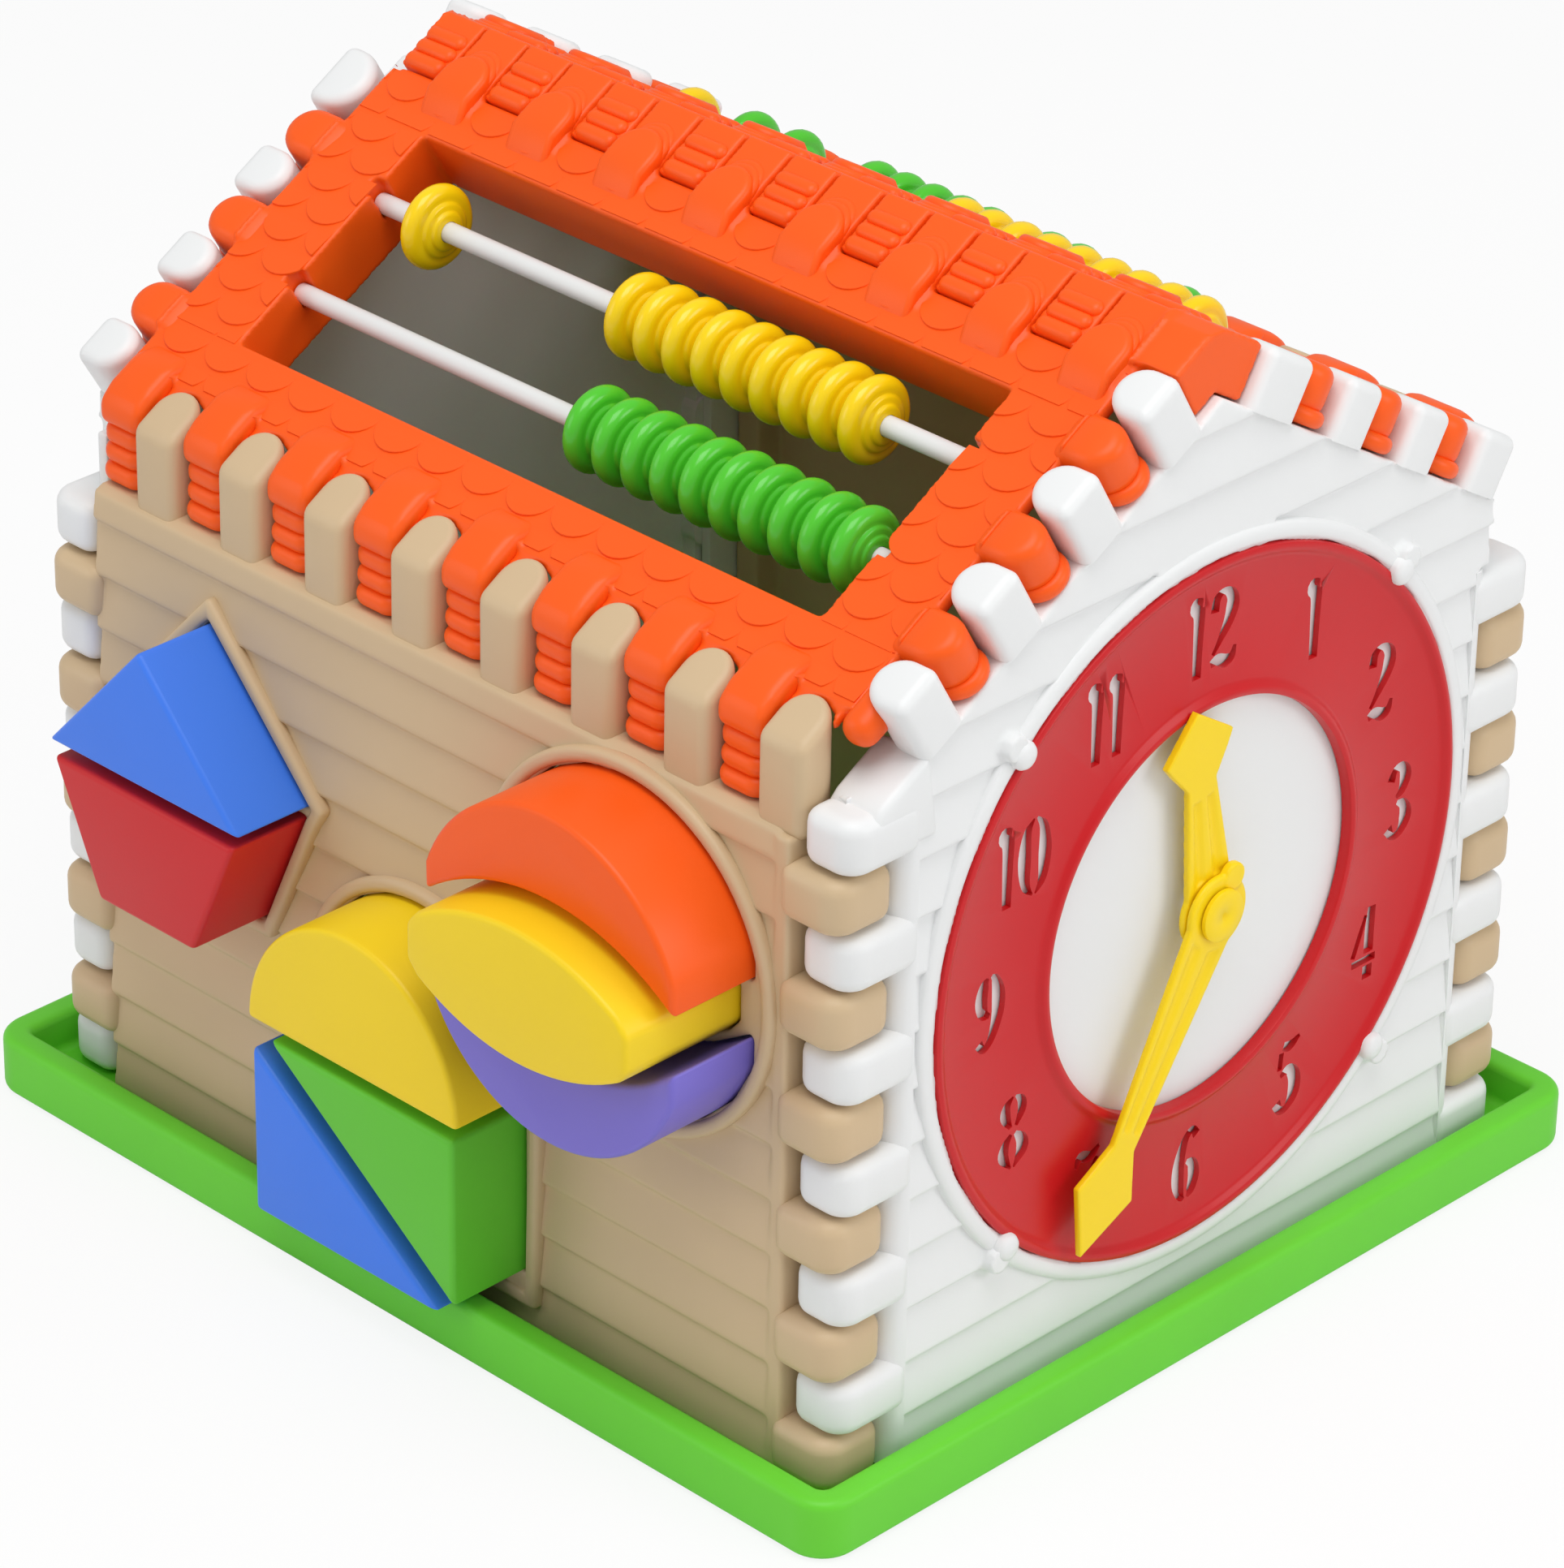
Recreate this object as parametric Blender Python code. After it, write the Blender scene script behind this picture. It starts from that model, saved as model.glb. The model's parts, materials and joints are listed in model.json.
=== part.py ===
"""Play house shape sorter: a tray, four interlocking walls, a bead frame roof, a clock and eight blocks.

The ridge runs along X, the wall with the block openings faces -Y and the clock gable faces +X.
The origin is at the bottom centre of the tray.
"""
import math

import bmesh
import bpy
from mathutils import Vector

MM = 0.001

# Clearances
SEAT_GAP = 0.3 * MM
OVERRUN = 2.0 * MM
WELD = 0.3 * MM

# Base tray
TRAY_LENGTH = 224.4 * MM
TRAY_DEPTH = 204.2 * MM
TRAY_HEIGHT = 12.0 * MM
TRAY_FLOOR = 4.0 * MM
TRAY_RIM = 5.8 * MM
TRAY_CORNER = 7.5 * MM
TRAY_ROUNDING = 1.9 * MM
TRAY_FOOT_ROUNDING = 0.8 * MM

# House shell: outer faces of the walls, ledges under the roof and the log corners
SIDE_FACE = 90.0 * MM
GABLE_FACE = 103.0 * MM
CORNER_REACH = 13.5 * MM
WALL_THICKNESS = 3.2 * MM
PLANK_LAP = 1.2 * MM
TRIM_WIDTH = 3.0 * MM
CORNER_RECESS = 7.0 * MM
STRIP_THICKNESS = 2.5 * MM
STRIP_REACH = 3.4 * MM
LEDGE_HEIGHT = 132.0 * MM
LEDGE_DROP = 1.2 * MM
LEDGE_DEPTH = 7.0 * MM
LEDGE_THICKNESS = 5.0 * MM

# Log fingers of the corners: one course is one finger or one plank high
COURSE = 11.15 * MM
FIRST_COURSE = 5.2 * MM
COURSES = 12
PLANK_DROP = 2.4 * MM
FINGER_GAP = 0.5 * MM
FINGER_FACE_INSET = 0.2 * MM
FINGER_BULGE = 3.3 * MM
FINGER_CORNER = 5.0 * MM
FINGER_TIP_ROUNDING = 1.6 * MM
SIDE_FINGER_HOOK = 11.6 * MM
GABLE_FINGER_HOOK = 10.8 * MM

# Roof: the slope of both panels and the fingers along their edges
RIDGE_HEIGHT = 198.6 * MM
ROOF_ANGLE = math.radians(30.7)
ROOF_HALF_LENGTH = 92.2 * MM
ROOF_THICKNESS = 3.0 * MM
FIELD_TOP = 13.5 * MM
FIELD_BOTTOM = 91.0 * MM
FINGER_PITCH = 22.7 * MM
FINGERS_PER_EDGE = 8
EAVE_FACE = 87.0 * MM
EAVE_DEPTH = 3.6 * MM
EAVE_ROUNDING = 3.0 * MM
WALL_FINGER_SHARE = 0.75
PANEL_FINGER_SHARE = 0.25
FINGER_RISE = 1.0 * MM
EAVE_ROLLS = 4
ROLL_DEPTH = 2.4 * MM
PAD_RISE = 2.2 * MM
RIDGE_ROLLS = 3
RIDGE_ROLL_DEPTH = 1.2 * MM
RIDGE_ROLL_RISE = 1.5 * MM
RIDGE_FINGER_RISE = 2.4 * MM
RIDGE_CREST_ROUNDING = 9.0 * MM
RIDGE_END = 13.2 * MM
EAR_RISE = 1.0 * MM
EAR_INSET = 1.4 * MM
CORNER_LOBE_INSET = 2.0 * MM
CORNER_LOBE_DROP = 5.6 * MM
CORNER_LOBE_DEPTH = 8.4 * MM
CORNER_ROUNDING = 3.6 * MM

# Gable edge of the roof: white fingers of the gable between tongues of the panel
RAKE_PITCH = 22.3 * MM
RAKE_NEAR_FIRST = 17.5 * MM
RAKE_FAR_FIRST = 22.2 * MM
RAKE_FAR_EXTRA = 3.2 * MM
RAKE_FINGERS = 4
RAKE_LEDGE = 10.0 * MM
RAKE_FLANGE = 2.6 * MM
RAKE_NEAR_RISE = 3.6 * MM
RAKE_FAR_RISE = 1.2 * MM
RAKE_ROUNDING = 2.0 * MM
RAKE_TOP_INSET = 1.6 * MM
RAKE_PROUD = 0.3 * MM
TONGUE_LENGTH = 10.0 * MM
TONGUE_NEAR_RISE = 2.6 * MM
TONGUE_FAR_RISE = 1.4 * MM
TONGUE_ROUNDING = 2.8 * MM
TONGUE_FOOT = 1.4 * MM

# Bead windows of the roof panels, with the notches that hold the rods
WINDOW_HALF = 73.8 * MM
WINDOW_TOP = 25.0 * MM
WINDOW_BOTTOM = 78.0 * MM
COLLAR_THICKNESS = 3.6 * MM
COLLAR_DEPTH = 14.0 * MM
UPPER_ROD = 38.2 * MM
LOWER_ROD = 61.4 * MM
FRONT_ROD_DEPTH = 5.4 * MM
BACK_ROD_DEPTH = 3.4 * MM
ROD_RADIUS = 1.6 * MM
ROD_SIDES = 12
NOTCH_DEPTH = 2.4 * MM

# Beads
BEAD_RADIUS = 8.2 * MM
BEAD_THICKNESS = 6.9 * MM
BEAD_BORE = 2.05 * MM
BEAD_HUB_RADIUS = 4.2 * MM
BEAD_RIM_THICKNESS = 2.6 * MM
BEAD_STEPS = 9
FRONT_YELLOW_SHARES = [(1, -0.87), (9, 0.71)]
FRONT_GREEN_SHARES = [(10, 0.96)]
BACK_YELLOW_SHARES = [(1, -0.83), (9, 0.98)]
BACK_GREEN_SHARES = [(1, -0.88), (1, -0.71), (5, -0.01), (2, 0.31), (1, 0.67)]
FUSED_RUN = 5

# Openings of the sorting wall and the blocks in them, seen from outside
BLOCK_CLEARANCE = 0.4 * MM
BLOCK_LENGTH = 42.0 * MM
BLOCK_EDGE = 0.9 * MM
LIP_WIDTH = 2.4 * MM
LIP_RISE = 0.5 * MM
BRIDGE = 1.8 * MM
TENT_X = -56.5 * MM
TENT_BASE = 89.0 * MM
TENT_HALF = 26.2 * MM
TENT_RISE = 27.8 * MM
KEEL_HALF_TOP = 24.8 * MM
KEEL_HALF_BOTTOM = 13.0 * MM
KEEL_DROP = 25.8 * MM
ARCH_X = -1.2 * MM
ARCH_BASE = 53.2 * MM
ARCH_RADIUS = 27.6 * MM
WEDGE_HALF = 26.6 * MM
WEDGE_BOTTOM = 12.6 * MM
ROUND_X = 51.2 * MM
ROUND_Z = 95.2 * MM
ROUND_RADIUS = 32.6 * MM
LENS_HALF = 27.2 * MM
LENS_RISE = 13.2 * MM
LENS_ARC = 48.0 * MM
LENS_TIP_ROUNDING = 2.4 * MM
CRESCENT_HALF = 30.6 * MM
BLOCK_STICKS_OUT = 18.0 * MM
CRESCENT_STICKS_OUT = 19.4 * MM
LENS_STICKS_OUT = 27.0 * MM

# Clock
CLOCK_HEIGHT = 88.4 * MM
RING_RADIUS = 68.1 * MM
RING_BORE = 39.7 * MM
RING_THICKNESS = 1.8 * MM
RING_BEAD = 1.4 * MM
RING_BEAD_RISE = 0.5 * MM
RING_STEPS = 28
DIAL_LIP = 3.2 * MM
DIAL_LIP_RISE = 0.5 * MM
DIAL_DEPTH = 1.5 * MM
CLIP_SPREAD = 69.6 * MM
CLIP_RADIUS = 2.6 * MM
CLIP_HEIGHT = 3.6 * MM
CLIP_SIDES = 8
PIVOT_RADIUS = 3.0 * MM
PIVOT_HEAD_RADIUS = 5.6 * MM
PIVOT_TOP_RADIUS = 3.4 * MM
PIVOT_HEAD_HEIGHT = 1.8 * MM
PIVOT_SIDES = 16
HAND_THICKNESS = 1.5 * MM
HAND_HUB_RADIUS = 7.4 * MM
HOUR_TIP = 42.0 * MM
HOUR_HEAD = 34.5 * MM
HOUR_HEAD_HALF = 8.6 * MM
HOUR_SHANK_END = 27.0 * MM
HAND_SHANK_HALF = 3.4 * MM
MINUTE_TIP = 66.0 * MM
MINUTE_HEAD = 54.0 * MM
MINUTE_HEAD_HALF = 8.4 * MM
MINUTE_SHANK_END = 45.0 * MM
HOUR_ANGLE = math.radians(-8.5)
MINUTE_ANGLE = math.radians(210.0)

# Colours
WHITE = (0.86, 0.87, 0.86)
BEIGE = (0.60, 0.43, 0.25)
GREEN = (0.13, 0.55, 0.06)
ORANGE = (0.95, 0.11, 0.02)
RED = (0.60, 0.02, 0.02)
BLUE = (0.06, 0.22, 0.85)
YELLOW = (0.88, 0.60, 0.02)
PURPLE = (0.20, 0.16, 0.62)
BEAD_GREEN = (0.09, 0.55, 0.05)

SIN = math.sin(ROOF_ANGLE)
COS = math.cos(ROOF_ANGLE)
WALL_SEAT = TRAY_FLOOR + SEAT_GAP
SIDE_TRIM_END = GABLE_FACE - CORNER_REACH
GABLE_TRIM_END = SIDE_FACE - CORNER_REACH
RAKE_INNER = ROOF_HALF_LENGTH + 2 * SEAT_GAP
TONGUE_REACH = ROOF_HALF_LENGTH + TONGUE_LENGTH
DIAL_FLOOR = GABLE_FACE - DIAL_DEPTH
RING_CREST = DIAL_FLOOR + SEAT_GAP + RING_THICKNESS + RING_BEAD_RISE
HAND_LEVELS = [RING_CREST + SEAT_GAP + (HAND_THICKNESS + SEAT_GAP) * level for level in range(3)]
BEAD_PITCH = BEAD_THICKNESS + SEAT_GAP
BEAD_TRAVEL = WINDOW_HALF - SEAT_GAP - BEAD_THICKNESS / 2
FINGER_WIDTH = FINGER_PITCH / 2 - FINGER_GAP
RAKE_WIDTH = RAKE_PITCH / 2 - FINGER_GAP


def clear_scene():
    for item in list(bpy.data.objects):
        bpy.data.objects.remove(item, do_unlink=True)


def plastic(name, colour, roughness):
    material = bpy.data.materials.new(name)
    material.use_nodes = True
    shader = material.node_tree.nodes["Principled BSDF"]
    shader.inputs["Base Color"].default_value = (*colour, 1)
    shader.inputs["Roughness"].default_value = roughness
    shader.inputs["Metallic"].default_value = 0
    return material


def arc(centre, radius, start, end, steps):
    """Points along an arc, from the start to the end angle in degrees."""
    angles = [math.radians(start + (end - start) * step / steps) for step in range(steps + 1)]
    return [(centre[0] + radius * math.cos(a), centre[1] + radius * math.sin(a)) for a in angles]


def rounded_box(low, high, radius, steps):
    """A rectangle with round corners, counterclockwise."""
    (left, bottom), (right, top) = low, high
    points = []
    corners = [
        (right - radius, bottom + radius, -90),
        (right - radius, top - radius, 0),
        (left + radius, top - radius, 90),
        (left + radius, bottom + radius, 180),
    ]
    for x, y, start in corners:
        points += arc((x, y), radius, start, start + 90, steps)
    return points


def grown(outline, distance):
    """A counterclockwise outline with every edge moved outwards by the distance."""
    points = []
    count = len(outline)
    for index, point in enumerate(outline):
        here = Vector(point)
        before = (here - Vector(outline[index - 1])).normalized()
        after = (Vector(outline[(index + 1) % count]) - here).normalized()
        normal_before = Vector((before.y, -before.x))
        normal_after = Vector((after.y, -after.x))
        mitre = (normal_before + normal_after).normalized()
        reach = distance / max(mitre.dot(normal_after), 0.5)
        points.append(tuple(here + mitre * reach))
    return points


def along_x(low, high):
    return lambda u, v, end: Vector((high if end else low, u, v))


def along_y(low, high):
    return lambda u, v, end: Vector((u, high if end else low, v))


def along_z(low, high):
    return lambda u, v, end: Vector((u, v, high if end else low))


def on_slope(side, x, down, rise):
    """A point of a roof slope: along the ridge, down the slope and above its face."""
    y = down * COS + rise * SIN
    z = RIDGE_HEIGHT - down * SIN + rise * COS
    return Vector((x, side * y, z))


def add_prism(mesh, outline, place):
    """Extrude an outline between the two ends that the placing function gives."""
    face = mesh.faces.new([mesh.verts.new(place(u, v, False)) for u, v in outline])
    travel = place(*outline[0], True) - place(*outline[0], False)
    result = bmesh.ops.extrude_face_region(mesh, geom=[face])
    moved = [item for item in result["geom"] if isinstance(item, bmesh.types.BMVert)]
    bmesh.ops.translate(mesh, verts=moved, vec=travel)


def add_loft(mesh, loops):
    """Bridge closed loops of points one after another and close both ends."""
    rings = [[mesh.verts.new(point) for point in loop] for loop in loops]
    for lower, upper in zip(rings, rings[1:]):
        count = len(lower)
        for index in range(count):
            after = (index + 1) % count
            mesh.faces.new((lower[index], lower[after], upper[after], upper[index]))
    mesh.faces.new(rings[0])
    mesh.faces.new(rings[-1])


def add_ring(mesh, profile, centre, axis, steps):
    """Spin a closed profile of distances along the axis and radii about that axis."""
    across = Vector((0, 0, 1))
    verts = [mesh.verts.new(centre + axis * u + across * radius) for u, radius in profile]
    edges = [mesh.edges.new((verts[index - 1], verts[index])) for index in range(len(verts))]
    bmesh.ops.spin(
        mesh, geom=edges, cent=centre, axis=axis, angle=math.tau, steps=steps, use_merge=True
    )


def finish_object(name, mesh, material, smooth=0.0):
    """Turn the faces outwards and link the mesh as an object."""
    bmesh.ops.recalc_face_normals(mesh, faces=mesh.faces)
    data = bpy.data.meshes.new(name)
    mesh.to_mesh(data)
    mesh.free()
    if smooth:
        data.shade_smooth()
        data.set_sharp_from_angle(angle=math.radians(smooth))
    item = bpy.data.objects.new(name, data)
    bpy.context.collection.objects.link(item)
    if material:
        data.materials.append(material)
    return item


def combine(target, mesh, operation):
    """Join or cut the target with the closed shapes of a mesh."""
    tool = finish_object(target.name + "_" + operation.lower(), mesh, None)
    tool.hide_render = True
    tool.display_type = "WIRE"
    tool.rotation_euler = target.rotation_euler
    modifier = target.modifiers.new(operation.title(), "BOOLEAN")
    modifier.operation = operation
    modifier.solver = "EXACT"
    modifier.use_self = operation == "UNION"
    modifier.object = tool


def soften(item, width, angle):
    modifier = item.modifiers.new("Edges", "BEVEL")
    modifier.width = width
    modifier.segments = 1
    modifier.limit_method = "ANGLE"
    modifier.angle_limit = math.radians(angle)


def tray_loop(inset, height):
    low = (inset - TRAY_LENGTH / 2, inset - TRAY_DEPTH / 2)
    high = (TRAY_LENGTH / 2 - inset, TRAY_DEPTH / 2 - inset)
    outline = rounded_box(low, high, TRAY_CORNER - inset, 3)
    return [Vector((x, y, height)) for x, y in outline]


def build_tray(material):
    """A shallow tray whose rim is round on top."""
    mesh = bmesh.new()
    shoulder = TRAY_HEIGHT - TRAY_ROUNDING
    outer = arc((TRAY_ROUNDING, shoulder), TRAY_ROUNDING, 180, 90, 2)
    inner = arc((TRAY_RIM - TRAY_ROUNDING, shoulder), TRAY_ROUNDING, 90, 0, 2)
    section = [(TRAY_FOOT_ROUNDING, 0), (0, TRAY_FOOT_ROUNDING)]
    section += outer + inner + [(TRAY_RIM, TRAY_FLOOR)]
    add_loft(mesh, [tray_loop(inset, height) for inset, height in section])
    return finish_object("base_tray", mesh, material, 50)


def course_bottom(index):
    return FIRST_COURSE + COURSE * index


def plank_section(face, top, top_drop):
    """Outer side of a wall from the bottom up: lapped planks, each leaning in under the next."""
    points = [(face, WALL_SEAT)]
    for index in range(1, COURSES + 1):
        edge = course_bottom(index) - PLANK_DROP
        if edge > top - 2 * top_drop:
            break
        points += [(face - PLANK_LAP, edge), (face, edge)]
    points += [(face - PLANK_LAP / 2, top - top_drop), (face - PLANK_LAP - top_drop, top)]
    return points


def finger_outline(face, end, hook_face, tip, inner_face, inner_hook):
    """Plan of a corner finger in (across the wall's face, along the wall), hooked round the corner."""
    tip_round = FINGER_TIP_ROUNDING
    outer_corner = arc((face - FINGER_CORNER, hook_face - FINGER_CORNER), FINGER_CORNER, 0, 90, 2)
    outer_tip = arc((tip + tip_round, hook_face - tip_round), tip_round, 90, 180, 1)
    return [
        (inner_face, end),
        (face, end),
        *outer_corner,
        *outer_tip,
        (tip, inner_hook),
        (inner_face, inner_hook),
    ]


def add_corner_fingers(mesh, outline, courses):
    """One hooked finger on each of the courses."""
    for index in courses:
        low = course_bottom(index) + FINGER_GAP / 2
        high = course_bottom(index + 1) - FINGER_GAP / 2
        add_prism(mesh, outline, along_z(low, high))


def side_finger_outline(end_side):
    """Finger of a side wall, in plan; end_side tells at which end of the wall it sits."""
    outline = finger_outline(
        face=SIDE_FACE - FINGER_FACE_INSET,
        end=SIDE_TRIM_END - STRIP_THICKNESS / 2,
        hook_face=GABLE_FACE - FINGER_BULGE,
        tip=SIDE_FACE - SIDE_FINGER_HOOK,
        inner_face=SIDE_FACE - CORNER_RECESS - WELD,
        inner_hook=GABLE_FACE - CORNER_RECESS + SEAT_GAP,
    )
    return [(end_side * along, -across) for across, along in outline]


def gable_finger_outline(end_side):
    """Finger of a gable wall, in plan; end_side tells at which end of the wall it sits."""
    outline = finger_outline(
        face=GABLE_FACE - FINGER_FACE_INSET,
        end=GABLE_TRIM_END - STRIP_THICKNESS / 2,
        hook_face=SIDE_FACE - FINGER_BULGE,
        tip=GABLE_FACE - GABLE_FINGER_HOOK,
        inner_face=GABLE_FACE - CORNER_RECESS - WELD,
        inner_hook=SIDE_FACE - CORNER_RECESS + SEAT_GAP,
    )
    return [(across, end_side * along) for across, along in outline]


def eave_section():
    """Side view of a wall finger that bends over the eaves, in (y, z)."""
    rise = FINGER_RISE
    bend_down = (EAVE_FACE - EAVE_ROUNDING - rise * SIN) / COS
    tip_down = FIELD_BOTTOM + SEAT_GAP
    under = on_slope(-1, 0, tip_down + EAVE_ROUNDING, rise - EAVE_DEPTH)
    inner = EAVE_FACE - EAVE_DEPTH
    inner_down = (inner - (rise - EAVE_DEPTH) * SIN) / COS
    inner_bend = on_slope(-1, 0, inner_down, rise - EAVE_DEPTH)
    tip_low = on_slope(-1, 0, tip_down, rise - EAVE_DEPTH)
    tip_high = on_slope(-1, 0, tip_down, -rise)
    tip_top = on_slope(-1, 0, tip_down + 2 * rise, rise)
    bend = on_slope(-1, 0, bend_down, rise)
    drop = Vector((-EAVE_FACE, bend.z - EAVE_ROUNDING))
    middle = Vector(((bend.y + drop.x) / 2 - rise / 2, (bend.z + drop.y) / 2 + rise / 2))
    foot = LEDGE_HEIGHT - WELD
    points = [(-inner, foot), (-EAVE_FACE, foot), tuple(drop), tuple(middle)]
    for corner in (bend, tip_top, tip_high, tip_low, under, inner_bend):
        points.append((corner.y, corner.z))
    return points


def finger_centre(index, pitch_share):
    """Place along X of an eave or ridge finger; the panel and its neighbour alternate."""
    first = -FINGER_PITCH * (FINGERS_PER_EDGE / 2)
    return first + FINGER_PITCH * (index + pitch_share)


def finger_spread(index, pitch_share):
    """Both ends along X of an eave or ridge finger."""
    centre = finger_centre(index, pitch_share)
    return centre - FINGER_WIDTH / 2, centre + FINGER_WIDTH / 2


def tent_outline():
    return [
        (TENT_X - TENT_HALF, TENT_BASE),
        (TENT_X + TENT_HALF, TENT_BASE),
        (TENT_X, TENT_BASE + TENT_RISE),
    ]


def keel_outline():
    top = TENT_BASE - BRIDGE - 2 * BLOCK_CLEARANCE
    bottom = top - KEEL_DROP
    return [
        (TENT_X - KEEL_HALF_BOTTOM, bottom),
        (TENT_X + KEEL_HALF_BOTTOM, bottom),
        (TENT_X + KEEL_HALF_TOP, top),
        (TENT_X - KEEL_HALF_TOP, top),
    ]


def arch_outline():
    return arc((ARCH_X, ARCH_BASE), ARCH_RADIUS, 0, 180, 10)


def wedge_outlines():
    """The two right triangles of a rectangle that is split along its diagonal."""
    left = ARCH_X - WEDGE_HALF
    right = ARCH_X + WEDGE_HALF
    bottom = WEDGE_BOTTOM
    top = ARCH_BASE - BRIDGE - 2 * BLOCK_CLEARANCE
    slope = math.atan2(top - bottom, right - left)
    split = BRIDGE + 2 * BLOCK_CLEARANCE
    side_shift = split / math.sin(slope)
    rise_shift = split / math.cos(slope)
    upper = [(left + side_shift, top), (right, bottom + rise_shift), (right, top)]
    lower = [(left, bottom), (right - side_shift, bottom), (left, top - rise_shift)]
    return upper, lower


def lens_outline():
    """A lens of two flat arcs with round tips."""
    centre = LENS_RISE - LENS_ARC
    tip_height = centre + math.sqrt(LENS_ARC ** 2 - LENS_HALF ** 2)
    tip_angle = math.degrees(math.asin((LENS_HALF - LENS_TIP_ROUNDING) / LENS_ARC))
    upper = arc((0, centre), LENS_ARC, 90 - tip_angle, 90 + tip_angle, 6)
    shoulder = tip_height - LENS_TIP_ROUNDING / 2
    half = [(LENS_HALF, 0), (LENS_HALF, shoulder), *upper, (-LENS_HALF, shoulder), (-LENS_HALF, 0)]
    other = [(-u, -v) for u, v in half[1:-1]]
    return [(ROUND_X + u, ROUND_Z + v) for u, v in half + other]


def crescent_outline(side):
    """One of the two crescents of the round opening, above or below the lens."""
    reach = LENS_ARC + BRIDGE + 2 * BLOCK_CLEARANCE
    centre = LENS_RISE - LENS_ARC
    outer_angle = math.degrees(math.asin(CRESCENT_HALF / ROUND_RADIUS))
    inner_angle = math.degrees(math.asin(CRESCENT_HALF / reach))
    outer = arc((0, 0), ROUND_RADIUS, 90 - outer_angle, 90 + outer_angle, 8)
    inner = arc((0, centre), reach, 90 + inner_angle, 90 - inner_angle, 6)
    return [(ROUND_X + side * u, ROUND_Z + side * v) for u, v in outer + inner]


def opening_groups():
    """Outer outlines of the three groups of openings, for the raised lips."""
    tent = tent_outline()
    keel = keel_outline()
    pennant = [keel[0], keel[1], tent[1], tent[2], tent[0]]
    upper, lower = wedge_outlines()
    gate = [lower[0], (upper[1][0], lower[0][1]), *arch_outline()]
    disc = arc((ROUND_X, ROUND_Z), ROUND_RADIUS, 0, 342, 19)
    return [pennant, gate, disc]


def block_outlines():
    upper, lower = wedge_outlines()
    return {
        "triangle": tent_outline(),
        "trapezoid": keel_outline(),
        "half_disc": arch_outline(),
        "upper_wedge": upper,
        "lower_wedge": lower,
        "upper_crescent": crescent_outline(1),
        "lens": lens_outline(),
        "lower_crescent": crescent_outline(-1),
    }


def build_side_wall(name, turn, material, openings):
    """A long wall with lapped planks, log corners, eave fingers and openings for blocks."""
    planks = plank_section(SIDE_FACE, LEDGE_HEIGHT, LEDGE_DROP)
    section = [(-across, height) for across, height in planks]
    inner = -SIDE_FACE + WALL_THICKNESS
    ledge_inner = -SIDE_FACE + LEDGE_DEPTH
    ledge_low = LEDGE_HEIGHT - LEDGE_THICKNESS
    section += [
        (ledge_inner, LEDGE_HEIGHT),
        (ledge_inner, ledge_low),
        (inner, ledge_low - LEDGE_DEPTH + WALL_THICKNESS),
        (inner, WALL_SEAT),
    ]
    mesh = bmesh.new()
    trim_start = SIDE_TRIM_END - TRIM_WIDTH
    add_prism(mesh, section, along_x(-SIDE_TRIM_END, trim_start))
    wall = finish_object(name, mesh, material)
    wall.rotation_euler.z = turn

    extras = bmesh.new()
    strip_back = -SIDE_FACE + CORNER_RECESS + STRIP_THICKNESS
    strip_front = -SIDE_FACE + CORNER_RECESS
    return_inner = SIDE_TRIM_END - STRIP_THICKNESS
    trim_top = LEDGE_HEIGHT - LEDGE_DROP
    strip_end = SIDE_TRIM_END + STRIP_REACH
    trim = [
        (trim_start - WELD, -SIDE_FACE),
        (SIDE_TRIM_END, -SIDE_FACE),
        (SIDE_TRIM_END, strip_front),
        (strip_end, strip_front),
        (strip_end, strip_back),
        (return_inner - WELD, strip_back),
        (return_inner - WELD, inner),
        (trim_start - WELD, inner),
    ]
    add_prism(extras, trim, along_z(WALL_SEAT, trim_top))
    plank_back = -SIDE_FACE + PLANK_LAP + WELD
    end_strip = [
        (-SIDE_TRIM_END - WELD, plank_back),
        (-SIDE_TRIM_END - WELD, strip_front),
        (-strip_end, strip_front),
        (-strip_end, strip_back),
        (-return_inner, strip_back),
        (-return_inner, plank_back),
    ]
    add_prism(extras, end_strip, along_z(WALL_SEAT, trim_top))
    add_corner_fingers(extras, side_finger_outline(1), range(0, COURSES - 1, 2))
    add_corner_fingers(extras, side_finger_outline(-1), range(1, COURSES - 2, 2))
    for index in range(FINGERS_PER_EDGE):
        add_prism(extras, eave_section(), along_x(*finger_spread(index, WALL_FINGER_SHARE)))
    if openings:
        for outline in opening_groups():
            add_prism(extras, grown(outline, LIP_WIDTH), along_y(-SIDE_FACE - LIP_RISE, inner - WELD))
    combine(wall, extras, "UNION")
    if openings:
        cutter = bmesh.new()
        for outline in openings.values():
            shape = grown(outline, BLOCK_CLEARANCE)
            add_prism(cutter, shape, along_y(-SIDE_FACE - OVERRUN, ledge_inner + OVERRUN))
        combine(wall, cutter, "DIFFERENCE")
    corners = bmesh.new()
    for index in range(FINGERS_PER_EDGE):
        outline = bay_outline(index, FIELD_BOTTOM, FINGER_WIDTH / 2, WELD)
        add_prism(corners, outline, slab_place(-EAVE_DEPTH - OVERRUN, OVERRUN))
    combine(wall, corners, "DIFFERENCE")
    return wall


def gable_outline(rise):
    """Region in (y, z) under the roof's slopes, the given distance above their faces."""
    half = GABLE_TRIM_END + OVERRUN
    apex = RIDGE_HEIGHT + rise / COS
    eave = apex - half * SIN / COS
    low = WALL_SEAT - OVERRUN
    return [(-half, low), (half, low), (half, eave), (0, apex), (-half, eave)]


def thumb_outline(inner, outer, middle, half):
    """Plan of a finger on the slope in (x, down): square at the outer end, round at the inner."""
    tip = arc((inner + half, middle), half, 90, 270, 4)
    return [(outer, middle - half), (outer, middle + half), *tip]


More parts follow.
